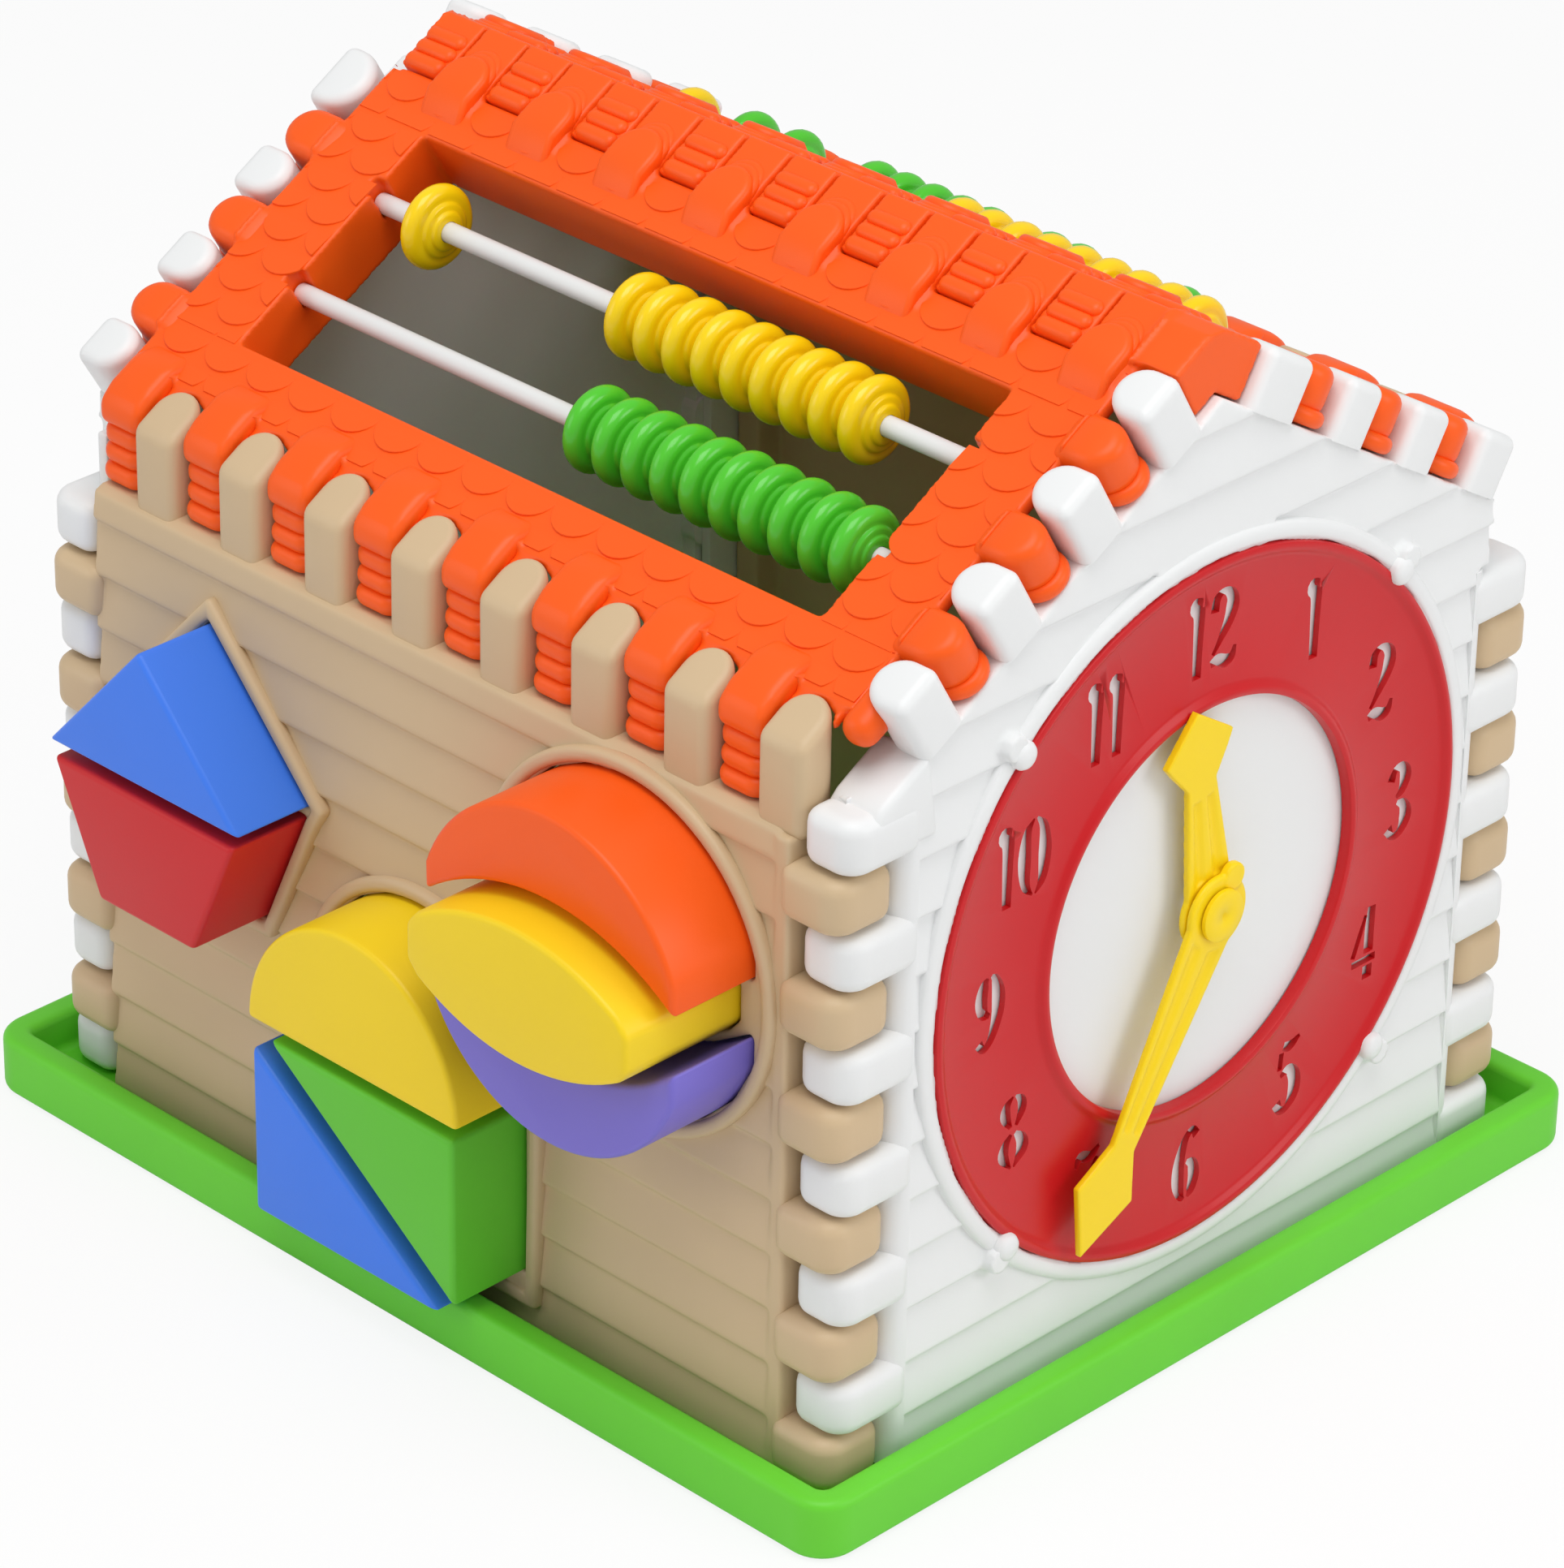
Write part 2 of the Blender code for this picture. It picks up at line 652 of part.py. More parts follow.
def rake_places(first):
    """Places down the slope of the gable's fingers."""
    return [first + RAKE_PITCH * index for index in range(RAKE_FINGERS)]


def add_levels(mesh, side, levels):
    """Loft closed outlines on a roof slope, each at its own rise above the slope's face."""
    add_loft(mesh, [[on_slope(side, x, down, rise) for x, down in outline] for outline, rise in levels])


def add_rake_fingers(mesh, side, first, rise, extra):
    """Thumb-shaped fingers of a gable that reach in over the roof's edge; the top one is wider."""
    inset = RAKE_TOP_INSET
    for index, place in enumerate(rake_places(first)):
        widening = 0 if index else extra / 2
        half = RAKE_WIDTH / 2 + widening
        middle = place - widening
        foot = thumb_outline(RAKE_INNER, GABLE_FACE + RAKE_PROUD, middle, half)
        top = thumb_outline(RAKE_INNER + inset, GABLE_FACE - inset, middle, half - inset)
        levels = [(foot, -RAKE_LEDGE - WELD), (foot, rise - RAKE_ROUNDING), (top, rise)]
        add_levels(mesh, side, levels)


def add_rake_flanges(mesh):
    """Sloping ledge inside the gable that carries the feet of the roof's tongues."""
    half = GABLE_TRIM_END - WELD
    apex = RIDGE_HEIGHT - (RAKE_LEDGE + WELD / 2) / COS
    eave = apex - half * SIN / COS
    drop = RAKE_FLANGE / COS
    outline = [(-half, eave), (-half, eave - drop), (0, apex - drop)]
    outline += [(half, eave - drop), (half, eave), (0, apex)]
    add_prism(mesh, outline, along_x(RAKE_INNER + WELD, GABLE_FACE - WALL_THICKNESS + WELD))


def build_gable_wall(name, turn, material, with_dial):
    """An end wall with lapped planks, log corners and the fingers along the roof's edge."""
    crown = RIDGE_HEIGHT - RAKE_LEDGE / COS
    planks = math.ceil((crown + PLANK_DROP - FIRST_COURSE) / COURSE)
    section = [(GABLE_FACE, WALL_SEAT)]
    for index in range(1, planks):
        edge = course_bottom(index) - PLANK_DROP
        section += [(GABLE_FACE - PLANK_LAP, edge), (GABLE_FACE, edge)]
    top = course_bottom(planks)
    inner = GABLE_FACE - WALL_THICKNESS
    section += [(GABLE_FACE - PLANK_LAP, top), (inner, top), (inner, WALL_SEAT)]
    mesh = bmesh.new()
    trim_start = GABLE_TRIM_END - TRIM_WIDTH

    def plank_place(x, z, end):
        return Vector((x, GABLE_TRIM_END if end else -trim_start, z))

    add_prism(mesh, section, plank_place)
    wall = finish_object(name, mesh, material)
    wall.rotation_euler.z = turn

    envelope = bmesh.new()
    add_prism(envelope, gable_outline(-RAKE_LEDGE), along_x(inner - OVERRUN, GABLE_FACE + OVERRUN))
    combine(wall, envelope, "INTERSECT")

    extras = bmesh.new()
    strip_front = GABLE_FACE - CORNER_RECESS
    strip_back = strip_front - STRIP_THICKNESS
    strip_end = SIDE_FACE - CORNER_RECESS - SEAT_GAP
    return_inner = GABLE_TRIM_END - STRIP_THICKNESS
    top = course_bottom(COURSES) - FINGER_GAP
    trim = [
        (GABLE_FACE, -trim_start + WELD),
        (GABLE_FACE, -GABLE_TRIM_END),
        (strip_front, -GABLE_TRIM_END),
        (strip_front, -strip_end),
        (strip_back, -strip_end),
        (strip_back, -return_inner + WELD),
        (inner, -return_inner + WELD),
        (inner, -trim_start + WELD),
    ]
    add_prism(extras, trim, along_z(WALL_SEAT, top))
    plank_back = GABLE_FACE - PLANK_LAP - WELD
    end_strip = [
        (plank_back, GABLE_TRIM_END + WELD),
        (strip_front, GABLE_TRIM_END + WELD),
        (strip_front, strip_end),
        (strip_back, strip_end),
        (strip_back, return_inner),
        (plank_back, return_inner),
    ]
    add_prism(extras, end_strip, along_z(WALL_SEAT, top))
    add_corner_fingers(extras, gable_finger_outline(-1), range(1, COURSES, 2))
    add_corner_fingers(extras, gable_finger_outline(1), range(0, COURSES - 1, 2))
    add_rake_fingers(extras, -1, RAKE_NEAR_FIRST, RAKE_NEAR_RISE, 0)
    add_rake_fingers(extras, 1, RAKE_FAR_FIRST, RAKE_FAR_RISE, RAKE_FAR_EXTRA)
    add_rake_flanges(extras)
    if with_dial:
        add_dial(extras)
    combine(wall, extras, "UNION")
    if with_dial:
        recess = bmesh.new()
        bed = dial_circle(RING_RADIUS + SEAT_GAP, RING_STEPS)
        add_prism(recess, bed, along_x(DIAL_FLOOR, GABLE_FACE + OVERRUN))
        combine(wall, recess, "DIFFERENCE")
        fittings = bmesh.new()
        add_dial_fittings(fittings)
        combine(wall, fittings, "UNION")
    return wall


def clock_point(x, radius, angle):
    """A point of the clock face; angles run clockwise from the top as seen from outside."""
    return Vector((x, radius * math.sin(angle), CLOCK_HEIGHT + radius * math.cos(angle)))


def dial_circle(radius, steps):
    return arc((0, CLOCK_HEIGHT), radius, 0, 360 - 360 / steps, steps - 1)


def add_dial(mesh):
    """Round plate of the clock with its lip."""
    back = GABLE_FACE - WALL_THICKNESS - WELD
    rim = dial_circle(RING_RADIUS + DIAL_LIP, RING_STEPS)
    add_prism(mesh, rim, along_x(back, GABLE_FACE + DIAL_LIP_RISE))


def add_dial_fittings(mesh):
    """The four clips round the dial and the shaft of the hands."""
    add_prism(mesh, dial_circle(PIVOT_RADIUS, PIVOT_SIDES), along_x(DIAL_FLOOR - WELD, HAND_LEVELS[2]))
    for quarter in range(4):
        centre = clock_point(0, CLIP_SPREAD + CLIP_RADIUS, math.radians(45 + 90 * quarter))
        outline = arc((centre.y, centre.z), CLIP_RADIUS, 0, 315, CLIP_SIDES - 1)
        add_prism(mesh, outline, along_x(DIAL_FLOOR, DIAL_FLOOR + CLIP_HEIGHT))


def build_ring(material):
    """The hour ring with a raised bead along both edges."""
    mesh = bmesh.new()
    back = DIAL_FLOOR + SEAT_GAP
    front = back + RING_THICKNESS
    crest = front + RING_BEAD_RISE
    profile = [
        (back, RING_BORE),
        (crest, RING_BORE),
        (crest, RING_BORE + RING_BEAD),
        (front, RING_BORE + RING_BEAD),
        (front, RING_RADIUS - RING_BEAD),
        (crest, RING_RADIUS - RING_BEAD),
        (crest, RING_RADIUS),
        (back, RING_RADIUS),
    ]
    add_ring(mesh, profile, Vector((0, 0, CLOCK_HEIGHT)), Vector((1, 0, 0)), RING_STEPS)
    return finish_object("clock_ring", mesh, material, 40)


def hand_outline(tip, head, head_half, shank_end):
    """A clock hand pointing up: round hub, narrow shank and a diamond head."""
    half = HAND_SHANK_HALF
    hub_angle = math.degrees(math.acos(half / HAND_HUB_RADIUS))
    hub = arc((0, 0), HAND_HUB_RADIUS, 180 - hub_angle, 360 + hub_angle, 14)
    return [*hub, (half, shank_end), (head_half, head), (0, tip), (-head_half, head), (-half, shank_end)]


def build_hand(name, outline, level, angle, material):
    """A flat hand with its origin on the shaft, turned to its hour."""
    mesh = bmesh.new()
    add_prism(mesh, outline, along_x(0, HAND_THICKNESS))
    hand = finish_object(name, mesh, material)
    hand.location = (level, 0, CLOCK_HEIGHT)
    hand.rotation_euler.x = -angle
    bore = bmesh.new()
    hole = arc((0, 0), PIVOT_RADIUS + SEAT_GAP, 0, 330, 11)
    add_prism(bore, hole, along_x(-OVERRUN, HAND_THICKNESS + OVERRUN))
    tool = finish_object(name + "_bore", bore, None)
    tool.hide_render = True
    tool.display_type = "WIRE"
    tool.location = hand.location
    tool.rotation_euler = hand.rotation_euler
    modifier = hand.modifiers.new("Bore", "BOOLEAN")
    modifier.operation = "DIFFERENCE"
    modifier.solver = "EXACT"
    modifier.object = tool
    return hand


def build_clock(red, yellow):
    build_ring(red)
    hour = hand_outline(HOUR_TIP, HOUR_HEAD, HOUR_HEAD_HALF, HOUR_SHANK_END)
    build_hand("hour_hand", hour, HAND_LEVELS[0], HOUR_ANGLE, yellow)
    minute = hand_outline(MINUTE_TIP, MINUTE_HEAD, MINUTE_HEAD_HALF, MINUTE_SHANK_END)
    build_hand("minute_hand", minute, HAND_LEVELS[1], MINUTE_ANGLE, yellow)
    mesh = bmesh.new()
    back = HAND_LEVELS[2] + SEAT_GAP
    shoulder = back + PIVOT_HEAD_HEIGHT / 2
    rings = [(back, PIVOT_HEAD_RADIUS), (shoulder, PIVOT_HEAD_RADIUS)]
    rings.append((back + PIVOT_HEAD_HEIGHT, PIVOT_TOP_RADIUS))
    angles = [math.tau * step / PIVOT_SIDES for step in range(PIVOT_SIDES)]
    add_loft(mesh, [[clock_point(x, radius, angle) for angle in angles] for x, radius in rings])
    finish_object("hand_pivot", mesh, yellow, 40)


def build_blocks(materials):
    """The eight blocks, half pushed into their openings."""
    looks = {
        "triangle": ("blue", BLOCK_STICKS_OUT),
        "trapezoid": ("red", BLOCK_STICKS_OUT),
        "half_disc": ("yellow", BLOCK_STICKS_OUT),
        "upper_wedge": ("green", BLOCK_STICKS_OUT),
        "lower_wedge": ("blue", BLOCK_STICKS_OUT),
        "upper_crescent": ("orange", CRESCENT_STICKS_OUT),
        "lens": ("yellow", LENS_STICKS_OUT),
        "lower_crescent": ("purple", CRESCENT_STICKS_OUT),
    }
    for shape, outline in block_outlines().items():
        colour, reach = looks[shape]
        front = -SIDE_FACE - reach
        mesh = bmesh.new()
        add_prism(mesh, outline, along_y(front, front + BLOCK_LENGTH))
        block = finish_object("block_" + shape, mesh, materials[colour], 30)
        soften(block, BLOCK_EDGE, 50)


def field_outline():
    """The flat part of a roof panel in (x, distance down the slope), one top corner round."""
    half = ROOF_HALF_LENGTH
    radius = CORNER_ROUNDING
    corner = arc((-half + radius, FIELD_TOP + radius), radius, 270, 180, 2)
    return [(half, FIELD_TOP), *corner, (-half, FIELD_BOTTOM), (half, FIELD_BOTTOM)]


def tongue_outline(reach, middle, half):
    """Plan of a panel tongue in (x, down), round at its outer end."""
    start = ROOF_HALF_LENGTH - 2 * WELD
    tip = arc((reach - half, middle), half, -90, 90, 4)
    return [(start, middle + half), (start, middle - half), *tip]


def roof_eave_section():
    """Side view of a panel finger: over the eaves and down to the ledge in rolls, in (y, z)."""
    outer = EAVE_FACE + ROLL_DEPTH / 2
    inner = EAVE_FACE - EAVE_DEPTH
    foot = LEDGE_HEIGHT + SEAT_GAP
    start_top = on_slope(-1, 0, FIELD_BOTTOM - EAVE_ROUNDING, -WELD)
    start_low = on_slope(-1, 0, FIELD_BOTTOM - EAVE_ROUNDING, -ROOF_THICKNESS + WELD)
    crown = on_slope(-1, 0, FIELD_BOTTOM, PAD_RISE)
    bend = on_slope(-1, 0, (EAVE_FACE - EAVE_ROUNDING) / COS, PAD_RISE)
    under_bend = on_slope(-1, 0, inner / COS, -ROOF_THICKNESS)
    roll_top = bend.z - EAVE_ROUNDING
    height = (roll_top - foot) / EAVE_ROLLS
    points = [(spot.y, spot.z) for spot in (start_low, start_top, crown, bend)]
    for roll in range(EAVE_ROLLS):
        top = roll_top - height * roll
        points.append((ROLL_DEPTH - outer if roll else -outer, top))
        points.append((-outer, top - height / 2))
    points += [(ROLL_DEPTH / 2 - outer, foot), (-inner, foot), (-inner, under_bend.z - SEAT_GAP)]
    return points


def ridge_section():
    """Side view of a panel finger: a raised pad, over the ridge, and lower rolls, in (y, z)."""
    rise = RIDGE_FINGER_RISE
    toe = FIELD_TOP + 2 * EAVE_ROUNDING
    own = on_slope(-1, 0, toe, -WELD)
    own_low = on_slope(-1, 0, toe, -ROOF_THICKNESS + WELD)
    own_shoulder = on_slope(-1, 0, toe - EAVE_ROUNDING, rise * 3 / 4)
    own_top = on_slope(-1, 0, toe - 2 * EAVE_ROUNDING, rise)
    slope = math.degrees(ROOF_ANGLE)
    crest_centre = RIDGE_HEIGHT + (rise - RIDGE_CREST_ROUNDING) / COS
    roll_start = RIDGE_CREST_ROUNDING * SIN / COS
    height = (RIDGE_END - roll_start) / RIDGE_ROLLS
    points = [(spot.y, spot.z) for spot in (own_low, own, own_shoulder, own_top)]
    points += arc((0, crest_centre), RIDGE_CREST_ROUNDING, 90 + slope, 90 - slope, 3)
    for roll in range(RIDGE_ROLLS):
        start = roll_start + height * roll
        valley = on_slope(1, 0, start + height / 5, RIDGE_ROLL_RISE - RIDGE_ROLL_DEPTH)
        crown = on_slope(1, 0, start + height * 3 / 5, RIDGE_ROLL_RISE)
        points += [(valley.y, valley.z), (crown.y, crown.z)]
    end = on_slope(1, 0, RIDGE_END, RIDGE_ROLL_RISE - RIDGE_ROLL_DEPTH / 2)
    points.append((end.y, end.z))
    tail = on_slope(1, 0, RIDGE_END, -ROOF_THICKNESS)
    return [*points, (tail.y, tail.z), (0, RIDGE_HEIGHT - ROOF_THICKNESS / COS)]


def ear_section(near_end, far_end, low, rise):
    """Side view of the end of the ridge beside the last finger, in (y, z)."""
    ends = [(-1, near_end, low), (-1, near_end, rise), (1, far_end, rise), (1, far_end, low)]
    start_low, start, tail, tail_low = [on_slope(side, 0, down, rise) for side, down, rise in ends]
    flat = RIDGE_HEIGHT
    run = rise / SIN
    points = [(start_low.y, start_low.z), (start.y, start.z), (-run, flat), (run, flat)]
    return [*points, (tail.y, tail.z), (tail_low.y, tail_low.z), (0, RIDGE_HEIGHT + low / COS)]


def slab_place(low, high):
    return lambda x, down, end: on_slope(-1, x, down, high if end else low)


def bay_outline(index, start, radius, side_margin):
    """Plan in (x, down) of what lies between the square corners and the round end of a wall finger."""
    left, right = finger_spread(index, WALL_FINGER_SHARE)
    middle = (left + right) / 2
    depth = FIELD_BOTTOM + SEAT_GAP + FINGER_WIDTH / 2
    left -= side_margin
    right += side_margin
    hollow = arc((middle, depth), radius, 0, -180, 4)
    return [(left, depth), (left, start), (right, start), (right, depth), *hollow]


def add_tongues(mesh, end_side, first, rise):
    """Bulging tongues between the gable's fingers, each with a roll round its foot."""
    half = RAKE_WIDTH / 2
    foot = -RAKE_LEDGE + SEAT_GAP
    waist = foot + 2 * TONGUE_FOOT
    inset = TONGUE_ROUNDING / 2
    sections = [
        (TONGUE_REACH + TONGUE_FOOT / 2, half, foot),
        (TONGUE_REACH + TONGUE_FOOT, half, foot + TONGUE_FOOT / 2),
        (TONGUE_REACH, half - TONGUE_FOOT / 4, waist),
        (TONGUE_REACH - TONGUE_FOOT / 2, half, rise - TONGUE_ROUNDING),
        (TONGUE_REACH - TONGUE_ROUNDING, half - inset, rise),
    ]
    for finger in rake_places(first)[:-1]:
        levels = []
        for reach, half_width, height in sections:
            outline = tongue_outline(reach, finger + RAKE_PITCH / 2, half_width)
            levels.append(([(end_side * x, down) for x, down in outline], height))
        add_levels(mesh, -1, levels)


def add_corner_lobe(mesh):
    """Rounded corner of the panel that reaches down past the last finger of the gable."""
    left = finger_spread(FINGERS_PER_EDGE - 1, WALL_FINGER_SHARE)[1] + FINGER_GAP
    right = TONGUE_REACH - CORNER_LOBE_INSET
    last = rake_places(RAKE_NEAR_FIRST)[-1] + RAKE_WIDTH / 2
    top = last + FINGER_GAP
    bottom = FIELD_BOTTOM + CORNER_LOBE_DROP
    radius = min(CORNER_ROUNDING, (bottom - top) / 2)
    outline = [(left, top), (right - radius, top)]
    outline += arc((right - radius, top + radius), radius, -60, 0, 1)
    outline += arc((right - radius, bottom - radius), radius, 0, 90, 2)
    outline += [(left, bottom)]
    neck = [(left, last - RAKE_WIDTH / 2), (ROOF_HALF_LENGTH - WELD, last - RAKE_WIDTH / 2)]
    neck += [(ROOF_HALF_LENGTH - WELD, bottom - radius), (left, bottom - radius)]
    add_prism(mesh, outline, slab_place(-CORNER_LOBE_DEPTH, WELD))
    add_prism(mesh, neck, slab_place(2 * WELD - ROOF_THICKNESS, -WELD))


def add_ear(mesh):
    """End of the ridge between the last ridge finger and the gable's first fingers."""
    last_edge = finger_spread(FINGERS_PER_EDGE - 1, WALL_FINGER_SHARE)[1]
    near_end = RAKE_NEAR_FIRST - RAKE_WIDTH / 2 - FINGER_GAP
    far_end = RAKE_FAR_FIRST - RAKE_WIDTH / 2 - RAKE_FAR_EXTRA - FINGER_GAP
    outer_start = ROOF_HALF_LENGTH + SEAT_GAP
    plate = ear_section(near_end, RIDGE_END, WELD - ROOF_THICKNESS, EAR_RISE)
    block = ear_section(near_end - WELD, far_end, SEAT_GAP - RAKE_LEDGE, EAR_RISE + WELD / 2)
    add_prism(mesh, plate, along_x(last_edge - WELD, outer_start + WELD))
    add_prism(mesh, block, along_x(outer_start, TONGUE_REACH - EAR_INSET))
    neck_end = ROOF_HALF_LENGTH - WELD
    neck_top = near_end - EAVE_ROUNDING
    neck_bottom = FIELD_TOP + EAVE_ROUNDING
    neck = [(last_edge, neck_top), (neck_end, neck_top), (neck_end, neck_bottom), (last_edge, neck_bottom)]
    add_prism(mesh, neck, slab_place(2 * WELD - ROOF_THICKNESS, -WELD))


def build_roof_panel(name, turn, material, rod_depth, with_ear):
    """A roof panel: slab with a deep bead window, eave and ridge fingers, gable tongues."""
    mesh = bmesh.new()
    add_prism(mesh, field_outline(), slab_place(-ROOF_THICKNESS, 0))
    panel = finish_object(name, mesh, material)
    panel.rotation_euler.z = turn

    extras = bmesh.new()
    for index in range(FINGERS_PER_EDGE):
        add_prism(extras, roof_eave_section(), along_x(*finger_spread(index, PANEL_FINGER_SHARE)))
        add_prism(extras, ridge_section(), along_x(*finger_spread(index, WALL_FINGER_SHARE)))
    add_tongues(extras, 1, RAKE_NEAR_FIRST, TONGUE_NEAR_RISE)
    add_tongues(extras, -1, RAKE_FAR_FIRST, TONGUE_FAR_RISE)
    add_corner_lobe(extras)
    for index in range(FINGERS_PER_EDGE):
        outline = bay_outline(index, FIELD_BOTTOM - WELD, FINGER_WIDTH / 2 + SEAT_GAP, FINGER_GAP + WELD)
        add_prism(extras, outline, slab_place(WELD * 3 / 2 - ROOF_THICKNESS, -WELD * 3 / 2))
    if with_ear:
        add_ear(extras)
    collar_outline = window_outline(COLLAR_THICKNESS)
    add_prism(extras, collar_outline, slab_place(-COLLAR_DEPTH, WELD - ROOF_THICKNESS))
    combine(panel, extras, "UNION")

    cutter = bmesh.new()
    add_prism(cutter, window_outline(0), slab_place(-COLLAR_DEPTH - OVERRUN, OVERRUN))
    combine(panel, cutter, "DIFFERENCE")

    notches = bmesh.new()
    half = ROD_RADIUS + SEAT_GAP
    for down in (UPPER_ROD, LOWER_ROD):
        for end_side in (-1, 1):
            inner = end_side * (WINDOW_HALF - OVERRUN)
            outer = end_side * (WINDOW_HALF + NOTCH_DEPTH)
            notch = [(inner, down - half), (outer, down - half), (outer, down + half), (inner, down + half)]
            add_prism(notches, notch, slab_place(-rod_depth - half, OVERRUN))
    combine(panel, notches, "DIFFERENCE")
    return panel


def window_outline(margin):
    """The bead window in (x, down), widened by a margin."""
    half = WINDOW_HALF + margin
    top = WINDOW_TOP - margin
    bottom = WINDOW_BOTTOM + margin
    return [(-half, top), (half, top), (half, bottom), (-half, bottom)]


def rod_centre(side, down):
    return on_slope(side, 0, down, -FRONT_ROD_DEPTH if side < 0 else -BACK_ROD_DEPTH)


def build_rods(material):
    for place, side in (("front", -1), ("back", 1)):
        for level, down in (("upper", UPPER_ROD), ("lower", LOWER_ROD)):
            mesh = bmesh.new()
            centre = rod_centre(side, down)
            circle = arc((centre.y, centre.z), ROD_RADIUS, 0, 330, ROD_SIDES - 1)
            half = WINDOW_HALF + NOTCH_DEPTH - SEAT_GAP
            add_prism(mesh, circle, along_x(-half, half))
            finish_object("_".join((place, level, "rod")), mesh, material, 40)


def bead_profile(places):
    """Section of beads in (along the rod, radius): each a lens with a hub round the bore."""
    half = BEAD_THICKNESS / 2
    rim = BEAD_RIM_THICKNESS / 2
    profile = [(places[0] - half, BEAD_BORE), (places[-1] + half, BEAD_BORE)]
    for x in reversed(places):
        profile.append((x + half, BEAD_HUB_RADIUS))
        profile.append((x + rim, BEAD_RADIUS))
        profile.append((x - rim, BEAD_RADIUS))
        profile.append((x - half, BEAD_HUB_RADIUS))
    return profile


def bead_rows():
    """Each row of beads: side of the roof, place down the slope, colour and its groups."""
    return {
        "front_yellow_bead": (-1, UPPER_ROD, "yellow", FRONT_YELLOW_SHARES),
        "front_green_bead": (-1, LOWER_ROD, "bead_green", FRONT_GREEN_SHARES),
        "back_yellow_bead": (1, UPPER_ROD, "yellow", BACK_YELLOW_SHARES),
        "back_green_bead": (1, LOWER_ROD, "bead_green", BACK_GREEN_SHARES),
    }


def build_beads(materials):
    """Forty beads; the run of five on the back green row is one body."""
    for name, (side, down, colour, groups) in bead_rows().items():
        number = 1
        for count, last_share in groups:
            last = BEAD_TRAVEL * last_share
            group = [last - BEAD_PITCH * step for step in reversed(range(count))]
            together = count == FUSED_RUN
            for places in [group] if together else [[x] for x in group]:
                mesh = bmesh.new()
                centre = rod_centre(side, down)
                add_ring(mesh, bead_profile(places), centre, Vector((1, 0, 0)), BEAD_STEPS)
                label = name + ("_run" if together else "_" + str(number))
                finish_object(label, mesh, materials[colour], 50)
                number += len(places)


def main():
    clear_scene()
    materials = {
        "white": plastic("white_plastic", WHITE, 0.4),
        "beige": plastic("beige_plastic", BEIGE, 0.5),
        "green": plastic("green_plastic", GREEN, 0.4),
        "orange": plastic("orange_plastic", ORANGE, 0.4),
        "red": plastic("red_plastic", RED, 0.25),
        "blue": plastic("blue_plastic", BLUE, 0.4),
        "yellow": plastic("yellow_plastic", YELLOW, 0.35),
        "purple": plastic("purple_plastic", PURPLE, 0.45),
        "bead_green": plastic("bead_green_plastic", BEAD_GREEN, 0.3),
    }
    build_tray(materials["green"])
    build_side_wall("front_wall", 0, materials["beige"], block_outlines())
    build_side_wall("back_wall", math.pi, materials["beige"], {})
    build_gable_wall("clock_gable", 0, materials["white"], True)
    build_gable_wall("rear_gable", math.pi, materials["white"], False)
    build_clock(materials["red"], materials["yellow"])
    build_blocks(materials)
    build_roof_panel("front_roof", 0, materials["orange"], FRONT_ROD_DEPTH, True)
    build_roof_panel("back_roof", math.pi, materials["orange"], BACK_ROD_DEPTH, False)
    build_rods(materials["white"])
    build_beads(materials)


main()
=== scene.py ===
"""Looks of the play house shape sorter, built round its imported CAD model."""
import json
import math

import bpy
from mathutils import Matrix, Vector


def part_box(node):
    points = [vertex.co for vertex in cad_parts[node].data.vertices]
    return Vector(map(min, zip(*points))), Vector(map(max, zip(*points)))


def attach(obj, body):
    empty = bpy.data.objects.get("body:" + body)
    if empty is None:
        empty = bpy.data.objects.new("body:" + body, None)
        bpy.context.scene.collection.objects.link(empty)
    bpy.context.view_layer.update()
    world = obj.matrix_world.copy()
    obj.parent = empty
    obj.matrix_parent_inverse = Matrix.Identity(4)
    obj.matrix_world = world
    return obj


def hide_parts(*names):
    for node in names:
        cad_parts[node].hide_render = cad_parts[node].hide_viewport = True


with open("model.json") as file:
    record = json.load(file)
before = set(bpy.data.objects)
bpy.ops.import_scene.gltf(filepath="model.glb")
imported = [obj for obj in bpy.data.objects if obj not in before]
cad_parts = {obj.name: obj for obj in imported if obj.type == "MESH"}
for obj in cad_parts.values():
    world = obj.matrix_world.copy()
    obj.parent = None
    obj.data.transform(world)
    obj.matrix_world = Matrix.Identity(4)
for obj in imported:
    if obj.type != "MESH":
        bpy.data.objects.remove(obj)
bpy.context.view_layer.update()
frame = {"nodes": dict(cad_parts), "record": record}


# Base tray. One shallow moulding of bright green plastic with a thick round rim; the four
# walls stand in it. The corners are rounded first, then the middle is sunk to the floor.
MM = 0.001
WELD = 0.002 * MM
TRAY_HALF_LENGTH = 112.2 * MM
TRAY_HALF_DEPTH = 102.1 * MM
TRAY_HEIGHT = 12.0 * MM
TRAY_FLOOR = 4.0 * MM
TRAY_RIM = 5.8 * MM
TRAY_CORNER = 7.5 * MM
TRAY_CORNER_STEPS = 10
TRAY_ROUNDING = 1.8 * MM
FACING_UP = 0.9
TRAY_GREEN = (0.145, 0.66, 0.035)


def take(piece):
    """Select one object alone and make it the active one."""
    bpy.ops.object.select_all(action="DESELECT")
    piece.select_set(True)
    bpy.context.view_layer.objects.active = piece
    return piece


def added(operator, **settings):
    """Add an object by an operator, with nothing else selected."""
    bpy.ops.object.select_all(action="DESELECT")
    operator(**settings)
    return bpy.context.object


def edit(piece, mode="FACE", action="SELECT"):
    """Open one piece in edit mode with everything selected, or nothing."""
    take(piece)
    bpy.ops.object.mode_set(mode="EDIT")
    bpy.ops.mesh.select_mode(type=mode)
    bpy.ops.mesh.select_all(action=action)


